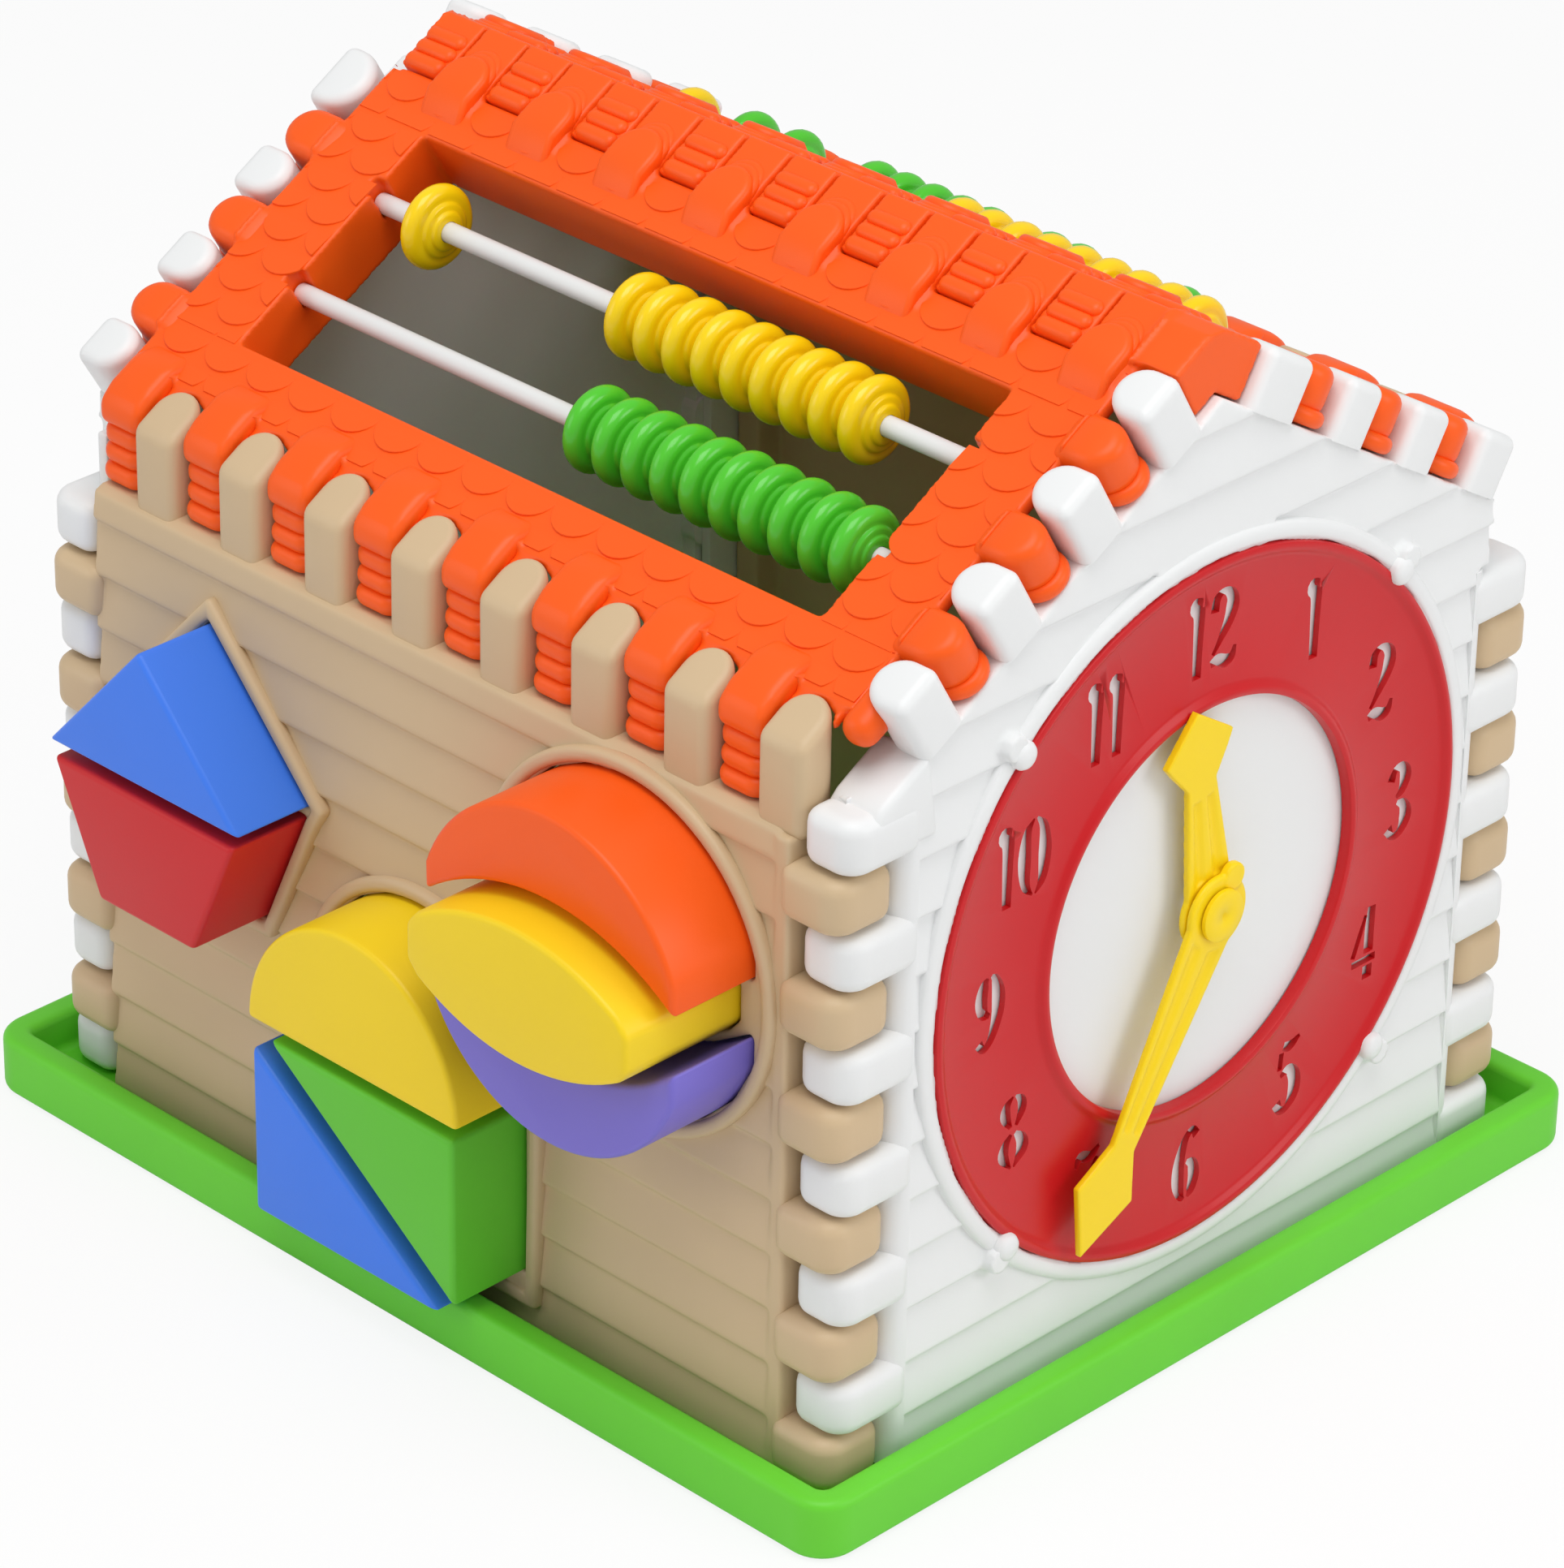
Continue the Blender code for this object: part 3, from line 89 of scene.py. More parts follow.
def done():
    """Leave edit mode."""
    bpy.ops.object.mode_set(mode="OBJECT")


def pick(piece, mode, wanted):
    """Select the faces, edges or corners of a piece in edit mode for which the test is true."""
    edit(piece, mode, "DESELECT")
    done()
    mesh = piece.data
    for item in {"FACE": mesh.polygons, "EDGE": mesh.edges, "VERT": mesh.vertices}[mode]:
        item.select = wanted(item)
    bpy.ops.object.mode_set(mode="EDIT")


def modify(piece, kind, **settings):
    """Add a modifier with these settings and apply it."""
    take(piece)
    modifier = piece.modifiers.new(kind.title(), kind)
    for key, value in settings.items():
        setattr(modifier, key, value)
    bpy.ops.object.modifier_apply(modifier=modifier.name)


def round_edges(piece, width, segments=3, angle=30):
    """Round every edge that is sharper than the angle in degrees."""
    modify(piece, "BEVEL", width=width, segments=segments, limit_method="ANGLE",
           angle_limit=math.radians(angle), harden_normals=False)


def face_outwards(piece):
    """Weld the corners that touch and turn every face outwards."""
    edit(piece)
    bpy.ops.mesh.remove_doubles(threshold=WELD)
    bpy.ops.mesh.normals_make_consistent(inside=False)
    done()


def shade(piece, angle=40):
    """Shade smoothly over every edge that is blunter than the angle in degrees."""
    take(piece)
    bpy.ops.object.shade_smooth_by_angle(angle=math.radians(angle))


def settle(piece):
    """Put the object's place and turn into its mesh."""
    take(piece)
    bpy.ops.object.transform_apply(location=True, rotation=True, scale=True)


def set_inputs(node, **values):
    """Set inputs of a shader node; an underscore stands for the space in an input's name."""
    for name, value in values.items():
        node.inputs[name.replace("_", " ")].default_value = value


def moulded(name, colour, roughness, drift, grain, coat=0.0):
    """Moulded plastic: a fine matt grain, and a colour that drifts a little over the piece."""
    material = bpy.data.materials.new(name)
    material.use_nodes = True
    nodes, links = material.node_tree.nodes, material.node_tree.links
    shader = nodes["Principled BSDF"]
    set_inputs(shader, Roughness=roughness, IOR=1.46, Specular_IOR_Level=0.36,
               Coat_Weight=coat, Coat_Roughness=0.12)
    place = nodes.new("ShaderNodeTexCoord")

    def noise(scale, detail):
        """Cloudy noise that stays with the piece."""
        cloud = nodes.new("ShaderNodeTexNoise")
        set_inputs(cloud, Scale=scale, Detail=detail)
        links.new(place.outputs["Object"], cloud.inputs["Vector"])
        return cloud.outputs["Fac"]

    tint = nodes.new("ShaderNodeMix")
    tint.data_type = "RGBA"
    set_inputs(tint, A=(*[channel * (1 - drift) for channel in colour], 1),
               B=(*[min(1, channel * (1 + drift)) for channel in colour], 1))
    links.new(noise(scale=28, detail=3), tint.inputs["Factor"])
    links.new(tint.outputs["Result"], shader.inputs["Base Color"])
    bump = nodes.new("ShaderNodeBump")
    set_inputs(bump, Strength=0.35, Distance=grain * MM)
    links.new(noise(scale=1400, detail=4), bump.inputs["Height"])
    links.new(bump.outputs["Normal"], shader.inputs["Normal"])
    return material


def dress(piece, material, body, slot, *nodes):
    """Give a finished piece its material and its body, and hide the CAD nodes that it stands for."""
    piece.data.materials.clear()
    piece.data.materials.append(material)
    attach(piece, body)
    if nodes:
        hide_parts(*nodes)


tray = added(bpy.ops.mesh.primitive_cube_add, size=1, location=(0, 0, TRAY_HEIGHT / 2))
tray.name = "tray_green"
tray.scale = (2 * TRAY_HALF_LENGTH, 2 * TRAY_HALF_DEPTH, TRAY_HEIGHT)
settle(tray)
pick(tray, "EDGE", lambda edge: abs((tray.data.vertices[edge.vertices[0]].co
                                     - tray.data.vertices[edge.vertices[1]].co).z) > TRAY_HEIGHT / 2)
bpy.ops.mesh.bevel(offset=TRAY_CORNER, segments=TRAY_CORNER_STEPS, affect="EDGES")
done()
pick(tray, "FACE", lambda face: face.normal.z > FACING_UP)
bpy.ops.mesh.inset(thickness=TRAY_RIM)
bpy.ops.mesh.extrude_region_move(TRANSFORM_OT_translate={"value": (0, 0, TRAY_FLOOR - TRAY_HEIGHT)})
done()
face_outwards(tray)
round_edges(tray, TRAY_ROUNDING, segments=5, angle=60)
shade(tray)
tray_plastic = moulded("tray_plastic", TRAY_GREEN, roughness=0.42, drift=0.08, grain=0.03)
dress(tray, tray_plastic, "house", "green_plastic", "base_tray")


# Planked side walls. Beige satin plastic, each moulded in one with its lapped planks, its fingers
# over the eaves and its log corners, whose soft cushions hook round the end of the next wall.
# A raised round lip runs round each group of openings in the front wall.
WALL_BEIGE = (0.64, 0.475, 0.29)
CAD_WELD = 0.02 * MM
WALL_MELT = {"cell": 0.55 * MM, "passes": 2, "share": 0.28}
COURSE = 11.15 * MM
FIRST_COURSE = 5.2 * MM
COURSE_GAP = 0.5 * MM
RIGHT_COURSES = range(0, 11, 2)
LEFT_COURSES = range(1, 10, 2)
CUSHION_CORNER = 5.0
CUSHION_CORNER_STEPS = 8
CUSHION_TIP = 3.6
CUSHION_TIP_STEPS = 6
CUSHION_ROUNDING = 2.8 * MM
CUSHION_DROP = 0.9 * MM
HOLLOW_ROOM = 1.0
SIDE_CUSHION = {
    "face": 91.4, "start": 87.6, "hook": 102.3, "tip": 76.9, "inner": 82.8, "inner_hook": 96.3,
}
LOG_CUTS = [((89.55, -93.0), (105.0, -83.05)), ((96.1, -84.0), (105.0, -75.5))]
LOG_CUT_TOPS = [(1, 128.3), (-1, 117.5)]
LOG_CUT_FOOT = 4.0
FINGERS = 8
FINGER_PITCH = 22.7 * MM
FINGER_FIRST = -73.775 * MM
FINGER_HALF = 5.43 * MM
ROUND_END_STEPS = 16
SLAB_FRONT = -88.6 * MM
SLAB_ROUND_START = -83.15 * MM
SLAB_ROUND_LENGTH = 4.67 * MM
SLAB_FOOT = 129.6 * MM
SLAB_RISE = 1.2 * MM
SLAB_ROUNDING = 2.1 * MM
SLAB_CUT_HALF = 5.6
SLAB_CUT_DEPTH = (-92.0, -76.0)
SLAB_CUT_HEIGHT = (132.3, 165.0)
RIDGE_HEIGHT = 198.6 * MM
ROOF_SLOPE = math.radians(30.7)
LIP_INNER = 0.6
LIP_OUTER = 3.5
LIP_FRONT = -91.5 * MM
LIP_BACK = -88.4 * MM
LIP_ROUNDING = 1.1 * MM
ARC_STEPS = 48
PENNANT_MIDDLE = -56.5
PENNANT_TOP = 116.8
PENNANT_SIDE = [(13.0, 60.6), (24.8, 86.6), (26.2, 89.0)]
GATE_MIDDLE = -1.2
GATE_HALF = 26.6
GATE_SILL = 12.6
GATE_SPRING = 53.2
GATE_RADIUS = 27.6
DISC_CENTRE = (51.2, 95.2)
DISC_RADIUS = 32.6


def joined(name, pieces):
    """Join some pieces into the first of them."""
    bpy.ops.object.select_all(action="DESELECT")
    for piece in pieces:
        piece.select_set(True)
    bpy.context.view_layer.objects.active = pieces[0]
    if len(pieces) > 1:
        bpy.ops.object.join()
    pieces[0].name = name
    return pieces[0]


def copied(name, mesh):
    """A new object with a copy of a mesh."""
    piece = bpy.data.objects.new(name, mesh.copy())
    bpy.context.scene.collection.objects.link(piece)
    return piece


def cut_away(piece, cutter, use_self=False):
    """Take a cutter's shape out of a piece and remove the cutter."""
    modify(piece, "BOOLEAN", operation="DIFFERENCE", solver="EXACT", use_self=use_self, object=cutter)
    bpy.data.objects.remove(cutter)


def melt(piece, cell, passes, share):
    """Round every edge: remesh the piece in small cells, smooth it and thin it out."""
    modify(piece, "REMESH", mode="VOXEL", voxel_size=cell, adaptivity=0)
    modify(piece, "SMOOTH", factor=0.5, iterations=passes)
    modify(piece, "DECIMATE", decimate_type="COLLAPSE", ratio=share)


def softened(node, cutters, **melting):
    """A copy of a moulded CAD node, less the cutters, with the round edges of moulded plastic."""
    piece = copied(node + "_soft", frame["nodes"][node].data)
    edit(piece)
    bpy.ops.mesh.remove_doubles(threshold=CAD_WELD)
    done()
    cut_away(piece, joined("cutter", cutters), use_self=True)
    melt(piece, **melting)
    take(piece)
    bpy.ops.object.shade_smooth()
    return piece


def prism(name, points, travel):
    """A straight bar from a closed outline, pushed out along its travel."""
    piece = added(bpy.ops.mesh.primitive_circle_add, vertices=len(points), radius=MM, fill_type="NGON")
    piece.name = name
    for corner, point in zip(piece.data.vertices, points):
        corner.co = point
    edit(piece)
    bpy.ops.mesh.extrude_region_move(TRANSFORM_OT_translate={"value": travel})
    done()
    face_outwards(piece)
    return piece


def arc(centre, radius, start, end, steps):
    """Points along an arc, from the start to the end angle in degrees."""
    angles = [math.radians(start + (end - start) * step / steps) for step in range(steps + 1)]
    return [(centre[0] + radius * math.cos(a), centre[1] + radius * math.sin(a)) for a in angles]


def grown(outline, distance):
    """A counterclockwise outline with every edge moved outwards by the distance."""
    points = []
    for index, point in enumerate(outline):
        here = Vector(point)
        before = (here - Vector(outline[index - 1])).normalized()
        after = (Vector(outline[(index + 1) % len(outline)]) - here).normalized()
        outwards = Vector((before.y + after.y, -before.x - after.x)).normalized()
        reach = distance / max(outwards.dot(Vector((after.y, -after.x))), 0.5)
        points.append(tuple(here + outwards * reach))
    return points


def opening_lip(name, outline):
    """A round-edged rib that follows an outline in (x, z) on the front wall."""
    def plate(offset, front, back):
        points = [(x * MM, front, z * MM) for x, z in grown(outline, offset)]
        return prism(name, points, (0, back - front, 0))

    rib = plate(LIP_OUTER, LIP_FRONT, LIP_BACK)
    hole = plate(LIP_INNER, LIP_FRONT - LIP_ROUNDING, LIP_BACK + LIP_ROUNDING)
    cut_away(rib, hole)
    round_edges(rib, LIP_ROUNDING, segments=3, angle=40)
    shade(rib, 35)
    return rib


def box_between(low, high):
    """A box between two opposite corners."""
    box = added(bpy.ops.mesh.primitive_cube_add, size=1)
    low, high = Vector(low), Vector(high)
    return moved(box, Matrix.Translation((low + high) / 2) @ Matrix.Diagonal((*(high - low), 1)))


def moved(piece, place):
    """Put a finished piece where the matrix says."""
    piece.matrix_world = place
    settle(piece)
    return piece


def swung(piece, turn):
    """Turn a piece about the middle of the house."""
    return moved(piece, Matrix.Rotation(turn, 4, "Z"))


def turned_boxes(turn, spans):
    """Boxes between pairs of corners in mm, turned about the middle of the house."""
    return [swung(box_between([part * MM for part in low], [part * MM for part in high]), turn)
            for low, high in spans]


def turned_copy(model, turn, spot):
    """A copy of a model moved to a spot, then turned about the middle of the house."""
    place = Matrix.Rotation(turn, 4, "Z") @ Matrix.Translation(spot)
    return moved(copied(model.name, model.data), place)


def finger_row(name, model, turn, first):
    """Copies of a finger along one side of the house, joined."""
    places = [(first + FINGER_PITCH * index, 0, 0) for index in range(FINGERS)]
    return joined(name, [turned_copy(model, turn, place) for place in places])


def log_corner(plan, place, turn, courses):
    """The cushions that hook a wall round a corner. The plan is in mm, off the wall and along it:
    the outer face, the start, the far side and the tip of the hook, and the corner inside it."""
    outline = [(plan["tip"], plan["start"]), (plan["face"], plan["start"])]
    outline += arc((plan["face"] - CUSHION_CORNER, plan["hook"] - CUSHION_CORNER),
                   CUSHION_CORNER, 0, 90, CUSHION_CORNER_STEPS)
    outline += arc((plan["tip"] + CUSHION_TIP, plan["hook"] - CUSHION_TIP),
                   CUSHION_TIP, 90, 180, CUSHION_TIP_STEPS)
    low = FIRST_COURSE + COURSE_GAP / 2 - CUSHION_DROP
    points = [(*(part * MM for part in place(*point)), low) for point in outline]
    model = prism("cushion", points, (0, 0, COURSE - COURSE_GAP))
    round_edges(model, CUSHION_ROUNDING, segments=5, angle=35)
    corners = [place(plan["tip"] - HOLLOW_ROOM, plan["start"] - HOLLOW_ROOM),
               place(plan["inner"], plan["inner_hook"])]
    hollow = box_between((*(min(pair) * MM for pair in zip(*corners)), 0),
                         (*(max(pair) * MM for pair in zip(*corners)), 2 * COURSE))
    cut_away(model, hollow)
    cushions = [turned_copy(model, turn, (0, 0, COURSE * index)) for index in courses]
    bpy.data.objects.remove(model)
    return cushions


def log_cuts(corners, tops, axis):
    """Spans in mm that take the square logs off both ends of a CAD wall, mirrored along the axis."""
    spans = []
    for side, top in tops:
        for low, high in corners:
            low, high = [*low, LOG_CUT_FOOT], [*high, top]
            low[axis], high[axis] = sorted((side * low[axis], side * high[axis]))
            spans.append((low, high))
    return spans


def finger_cuts():
    """Spans in mm that take the square fingers over the eaves off a CAD wall."""
    (front, back), (foot, top) = SLAB_CUT_DEPTH, SLAB_CUT_HEIGHT
    middles = [(FINGER_FIRST + FINGER_PITCH * index) / MM for index in range(FINGERS)]
    return [((middle - SLAB_CUT_HALF, front, foot), (middle + SLAB_CUT_HALF, back, top))
            for middle in middles]


def eave_slab():
    """A finger over the eaves: round at its upper end, its top on the slope of the roof."""
    plan = [(-FINGER_HALF, SLAB_FRONT), (FINGER_HALF, SLAB_FRONT)]
    for x, y in arc((0, 0), 1, 0, 180, ROUND_END_STEPS):
        plan.append((x * FINGER_HALF, SLAB_ROUND_START + y * SLAB_ROUND_LENGTH))
    slab = prism("eave_slab", [(x, y, SLAB_FOOT) for x, y in plan], (0, 0, RIDGE_HEIGHT - SLAB_FOOT))
    edit(slab)
    bpy.ops.mesh.bisect(plane_co=(0, 0, RIDGE_HEIGHT + SLAB_RISE / math.cos(ROOF_SLOPE)),
                        plane_no=(0, -math.sin(ROOF_SLOPE), math.cos(ROOF_SLOPE)),
                        use_fill=True, clear_outer=True)
    done()
    round_edges(slab, SLAB_ROUNDING, segments=5, angle=35)
    return slab


wall_plastic = moulded("wall_plastic", WALL_BEIGE, roughness=0.42, drift=0.05, grain=0.03)
slab_model = eave_slab()
for node, turn in (("front_wall", 0), ("back_wall", math.pi)):
    cutters = turned_boxes(turn, log_cuts(LOG_CUTS, LOG_CUT_TOPS, 0) + finger_cuts())
    wall = softened(node, cutters, **WALL_MELT)
    dress(wall, wall_plastic, "house", "beige_plastic", node)
    logs = log_corner(SIDE_CUSHION, lambda off, along: (along, -off), turn, RIGHT_COURSES)
    logs += log_corner(SIDE_CUSHION, lambda off, along: (-along, -off), turn, LEFT_COURSES)
    logs = joined(node + "_logs", logs)
    slabs = finger_row(node + "_slabs", slab_model, turn, FINGER_FIRST)
    for piece in (logs, slabs):
        shade(piece, 35)
        dress(piece, wall_plastic, "house", "beige_plastic")
bpy.data.objects.remove(slab_model)
pennant_right = [(PENNANT_MIDDLE + half, height) for half, height in PENNANT_SIDE]
pennant_left = [(PENNANT_MIDDLE - half, height) for half, height in reversed(PENNANT_SIDE)]
gate_left, gate_right = GATE_MIDDLE - GATE_HALF, GATE_MIDDLE + GATE_HALF
gate_arch = arc((GATE_MIDDLE, GATE_SPRING), GATE_RADIUS, 0, 180, ARC_STEPS)
lip_outlines = {
    "pennant_lip": [*pennant_right, (PENNANT_MIDDLE, PENNANT_TOP), *pennant_left],
    "gate_lip": [(gate_left, GATE_SILL), (gate_right, GATE_SILL), *gate_arch],
    "disc_lip": arc(DISC_CENTRE, DISC_RADIUS, 0, 360, 2 * ARC_STEPS)[:-1],
}
for name, outline in lip_outlines.items():
    dress(opening_lip(name, outline), wall_plastic, "house", "beige_plastic")


# Gables. White satin plastic, moulded with lapped planks, log corners, a shoulder under the lowest
# thumb and thumbs along the slope: bars with a round inner end that stand on the sloping ledge.
# The clock side has a sunk dial.
GABLE_WHITE = (0.84, 0.85, 0.85)
GABLE_CUSHION = {
    "face": 103.4, "start": 71.6, "hook": 89.4, "tip": 90.9, "inner": 95.8, "inner_hook": 83.3,
}
NEAR_COURSES = range(1, 12, 2)
FAR_COURSES = range(0, 11, 2)
GABLE_CUTS = [((96.05, 73.5), (105.0, 93.0)), ((90.0, 83.1), (97.0, 93.0))]
GABLE_CUT_TOPS = [(-1, 139.2), (1, 128.3)]
GABLE_EDGE = [
    (96.5, 72.5), (102.9, 72.5), (102.9, 73.6), (102.3, 74.8), (101.2, 75.8), (99.9, 76.5), (96.5, 76.9),
]
EDGE_FOOT = 4.6 * MM
EDGE_TOPS = [(-1, 138.6 * MM), (1, 128.0 * MM)]
SHOULDER_SIDE = [
    (-68.0, 129.0), (-83.8, 129.0), (-83.8, 135.2), (-83.0, 137.4), (-81.4, 139.0), (-79.4, 140.2),
    (-70.4, 145.5),
]
SHOULDER_BACK = 91.3 * MM
SHOULDER_FRONT = 103.2 * MM
SHOULDER_ROUNDING = 1.5 * MM
THUMB_INNER = 92.9 * MM
THUMB_OUTER = 103.4 * MM
THUMB_HALF = 5.3 * MM
THUMB_FOOT = -10.3 * MM
THUMB_ROUNDING = 2.1 * MM
THUMB_PITCH = 22.3 * MM
NEAR_THUMBS = (17.5 * MM, 3.6 * MM, 0)
FAR_THUMBS = (22.2 * MM, 1.4 * MM, 3.2 * MM)
THUMBS = 4
TOUCH = 0.01 * MM
LEDGE_CUT = -9.95 * MM
LEDGE_SPAN = (85.0 * MM, 110.0 * MM)
THUMBS_END = 94.5 * MM
CUT_ROOM = 12.0 * MM


def slope_frame(turn):
    """Frame of a roof slope: along the ridge, up the slope and off its face. No turn is the front."""
    tilt = Matrix.Translation((0, 0, RIDGE_HEIGHT)) @ Matrix.Rotation(ROOF_SLOPE, 4, "X")
    return Matrix.Rotation(turn, 4, "Z") @ tilt


def slope_box(turn, across, down, rise):
    """A box on a slope, between two places along the ridge, down the slope and off its face."""
    box = box_between((across[0], -down[1], rise[0]), (across[1], -down[0], rise[1]))
    return moved(box, slope_frame(turn))


def rake_thumb(rise, half):
    """A bar with one round end, its top and outer edges rounded; the round end is at the origin."""
    length = THUMB_OUTER - THUMB_INNER
    outline = [(length, -half), (length, half), *arc((half, 0), half, 90, 270, ROUND_END_STEPS)]
    points = [(x, y, THUMB_FOOT) for x, y in outline]
    thumb = prism("rake_thumb", points, (0, 0, rise - THUMB_FOOT))
    corners = thumb.data.vertices

    def rounded(edge):
        """True for the edges of the top and the upright ones of the outer end."""
        ends = [corners[number].co for number in edge.vertices]
        if all(end.z > rise - TOUCH for end in ends):
            return True
        outer = all(end.x > length - TOUCH and abs(end.y) > half / 2 for end in ends)
        return outer and abs(ends[0].y - ends[1].y) < half

    pick(thumb, "EDGE", rounded)
    bpy.ops.mesh.bevel(offset=THUMB_ROUNDING, segments=6, affect="EDGES")
    done()
    face_outwards(thumb)
    return thumb


def on_slope(model, turn, flip, spot):
    """A copy of a model at a spot of a slope; the flip turns it end for end."""
    place = slope_frame(turn) @ Matrix.Translation(spot) @ Matrix.Rotation(flip, 4, "Z")
    return moved(copied(model.name, model.data), place)


def thumb_row(turn, flip, first, rise, extra):
    """The white thumbs of one slope of a gable; the top one is wider by the extra."""
    sign = math.cos(flip)
    row = []
    for index in range(THUMBS):
        widening = 0 if index else extra / 2
        model = rake_thumb(rise, THUMB_HALF + widening)
        down = first + THUMB_PITCH * index - widening
        row.append(on_slope(model, turn, flip, (sign * THUMB_INNER, -down, 0)))
        bpy.data.objects.remove(model)
    return row


gable_plastic = moulded("gable_plastic", GABLE_WHITE, roughness=0.38, drift=0.02, grain=0.02)
for node, turn in (("clock_gable", 0), ("rear_gable", math.pi)):
    inner, outer = LEDGE_SPAN
    cutters = [
        slope_box(turn, (inner, outer), (-CUT_ROOM, THUMBS_END), (LEDGE_CUT, CUT_ROOM)),
        slope_box(turn + math.pi, (-outer, -inner), (-CUT_ROOM, THUMBS_END), (LEDGE_CUT, CUT_ROOM)),
    ]
    cutters += turned_boxes(turn, log_cuts(GABLE_CUTS, GABLE_CUT_TOPS, 1))
    gable = softened(node, cutters, **WALL_MELT)
    dress(gable, gable_plastic, "house", "white_plastic", node)

    thumbs = thumb_row(turn, 0, *NEAR_THUMBS) + thumb_row(turn + math.pi, math.pi, *FAR_THUMBS)
    for side, top in EDGE_TOPS:
        outline = [(x * MM, side * y * MM, EDGE_FOOT) for x, y in GABLE_EDGE]
        thumbs.append(swung(prism("gable_edge", outline, (0, 0, top - EDGE_FOOT)), turn))
    outline = [(SHOULDER_BACK, y * MM, z * MM) for y, z in SHOULDER_SIDE]
    shoulder = prism("gable_shoulder", outline, (SHOULDER_FRONT - SHOULDER_BACK, 0, 0))
    round_edges(shoulder, SHOULDER_ROUNDING, segments=4, angle=50)
    thumbs.append(swung(shoulder, turn))
    thumbs += log_corner(GABLE_CUSHION, lambda off, along: (off, -along), turn, NEAR_COURSES)
    thumbs += log_corner(GABLE_CUSHION, lambda off, along: (off, along), turn, FAR_COURSES)
    thumbs = joined(node + "_thumbs", thumbs)
    shade(thumbs, 35)
    dress(thumbs, gable_plastic, "house", "white_plastic")


# Roof panels. Orange plastic frames round a deep window, the flat of each covered with rows of
# low round scales. Rolled thumbs bend over the eaves, round tongues lie between the gable's
# thumbs, and pads with ripples and low rolls reach over the ridge into the other panel.
ROOF_ORANGE = (0.99, 0.112, 0.006)
ROOF_MELT = {"cell": 0.6 * MM, "passes": 4, "share": 0.32}
SCALE_PITCH = 11.35 * MM
SCALE_RADIUS = 5.9 * MM
SCALE_CORNERS = 28
SCALE_ROW = 6.4 * MM
SCALE_STEP = 0.5 * MM
SCALE_FOOT = 0.25 * MM
SCALE_SUNK = 0.05 * MM
SCALE_ROUNDING = 0.16 * MM
FRAME_HALF = 91.4 * MM
FRAME_TOP = 14.0 * MM
FRAME_FOOT = 89.6 * MM
WINDOW_HALF = 74.4 * MM
WINDOW_TOP = 24.4 * MM
WINDOW_FOOT = 78.6 * MM
FRAME_BANDS = [
    ((-FRAME_HALF, FRAME_HALF), (FRAME_TOP, WINDOW_TOP)),
    ((-FRAME_HALF, FRAME_HALF), (WINDOW_FOOT, FRAME_FOOT)),
    ((-FRAME_HALF, -WINDOW_HALF), (WINDOW_TOP, WINDOW_FOOT)),
    ((WINDOW_HALF, FRAME_HALF), (WINDOW_TOP, WINDOW_FOOT)),
]
EAVE_FIRST = FINGER_FIRST - FINGER_PITCH / 2
EAVE_CUT = 90.8 * MM
PAD_HALF = 5.45 * MM
PAD_START = 84.2 * MM
PAD_CREST = 89.4 * MM
PAD_SUNK = -0.5 * MM
PAD_BEND = 96.4 * MM
PAD_RISE = 2.4 * MM
PAD_DEPTH = 5.0 * MM
PAD_ROUNDING = 2.9 * MM
EAVE_FRONT = -87.0 * MM
EAVE_BACK = -81.6 * MM
PAD_FOOT = 143.6 * MM
PAD_SHOULDER = 148.4 * MM
ROLL_FOOT = 132.3 * MM
ROLLS = 3
ROLL_HALF = 5.5 * MM
ROLL_CORNER = 3.3 * MM
ROLL_CORNER_STEPS = 8
ROLL_FRONT = -87.2 * MM
ROLL_STEP = 0.3 * MM
ROLL_OVERLAP = 0.3 * MM
ROLL_ROUNDING = 1.9 * MM
RIDGE_CUT = 0.7 * MM
RIDGE_CUT_END = 90.4 * MM
RIDGE_CUT_BACK = 13.6 * MM
RIDGE_PAD_START = 21.6 * MM
RIDGE_PAD_FALL = 16.5 * MM
RIDGE_PAD_TIP = 6.8 * MM
RIDGE_PAD_HALF = 5.3 * MM
RIDGE_STEPS = [(0, 3.0 * MM, 0), (0.15 * MM, 1.8 * MM, 1.7 * MM), (0.3 * MM, 1.2 * MM, 3.1 * MM)]
RIDGE_PAD_FOOT = -3.0 * MM
RIDGE_PAD_ROUNDING = 2.5 * MM
RIDGE_PAD_SUNK = -0.6 * MM
RIDGE_ROLL_PLACES = [(3.4 * MM, 6.8 * MM), (6.6 * MM, 10.0 * MM), (9.8 * MM, 13.2 * MM)]
RIDGE_ROLL_HALF = 4.9 * MM
RIDGE_ROLL_RISE = 1.9 * MM
RIDGE_ROLL_ROUNDING = 1.5 * MM
TONGUE_START = 88.2 * MM
TONGUE_RAMP = 5.0 * MM
TONGUE_SUNK = -0.5 * MM
TONGUE_REACH = 102.0 * MM
TONGUE_HALF = 5.25 * MM
TONGUE_FOOT = -9.6 * MM
TONGUE_WAIST = -6.4 * MM
TONGUE_ROUNDING = 2.4 * MM
TONGUE_ROLL = 1.3 * MM
TONGUE_ROLL_SIDE = 0.1 * MM
TONGUE_ROLL_ROUNDING = 1.4 * MM
TONGUE_CUT = 92.6 * MM
TONGUE_CUT_ROOM = 0.5 * MM
LOBE_ACROSS = (90.8 * MM, 97.6 * MM)
LOBE_DOWN = (83.5 * MM, 95.0 * MM)
LOBE_RISE = (-5.6 * MM, 0.8 * MM)
LOBE_ROUNDING = 3.0 * MM
LOBE_CUTS = [(90.5 * MM, 91.2 * MM), (92.25 * MM, 89.6 * MM)]
NEAR_TONGUES = (28.65 * MM, 2.6 * MM)
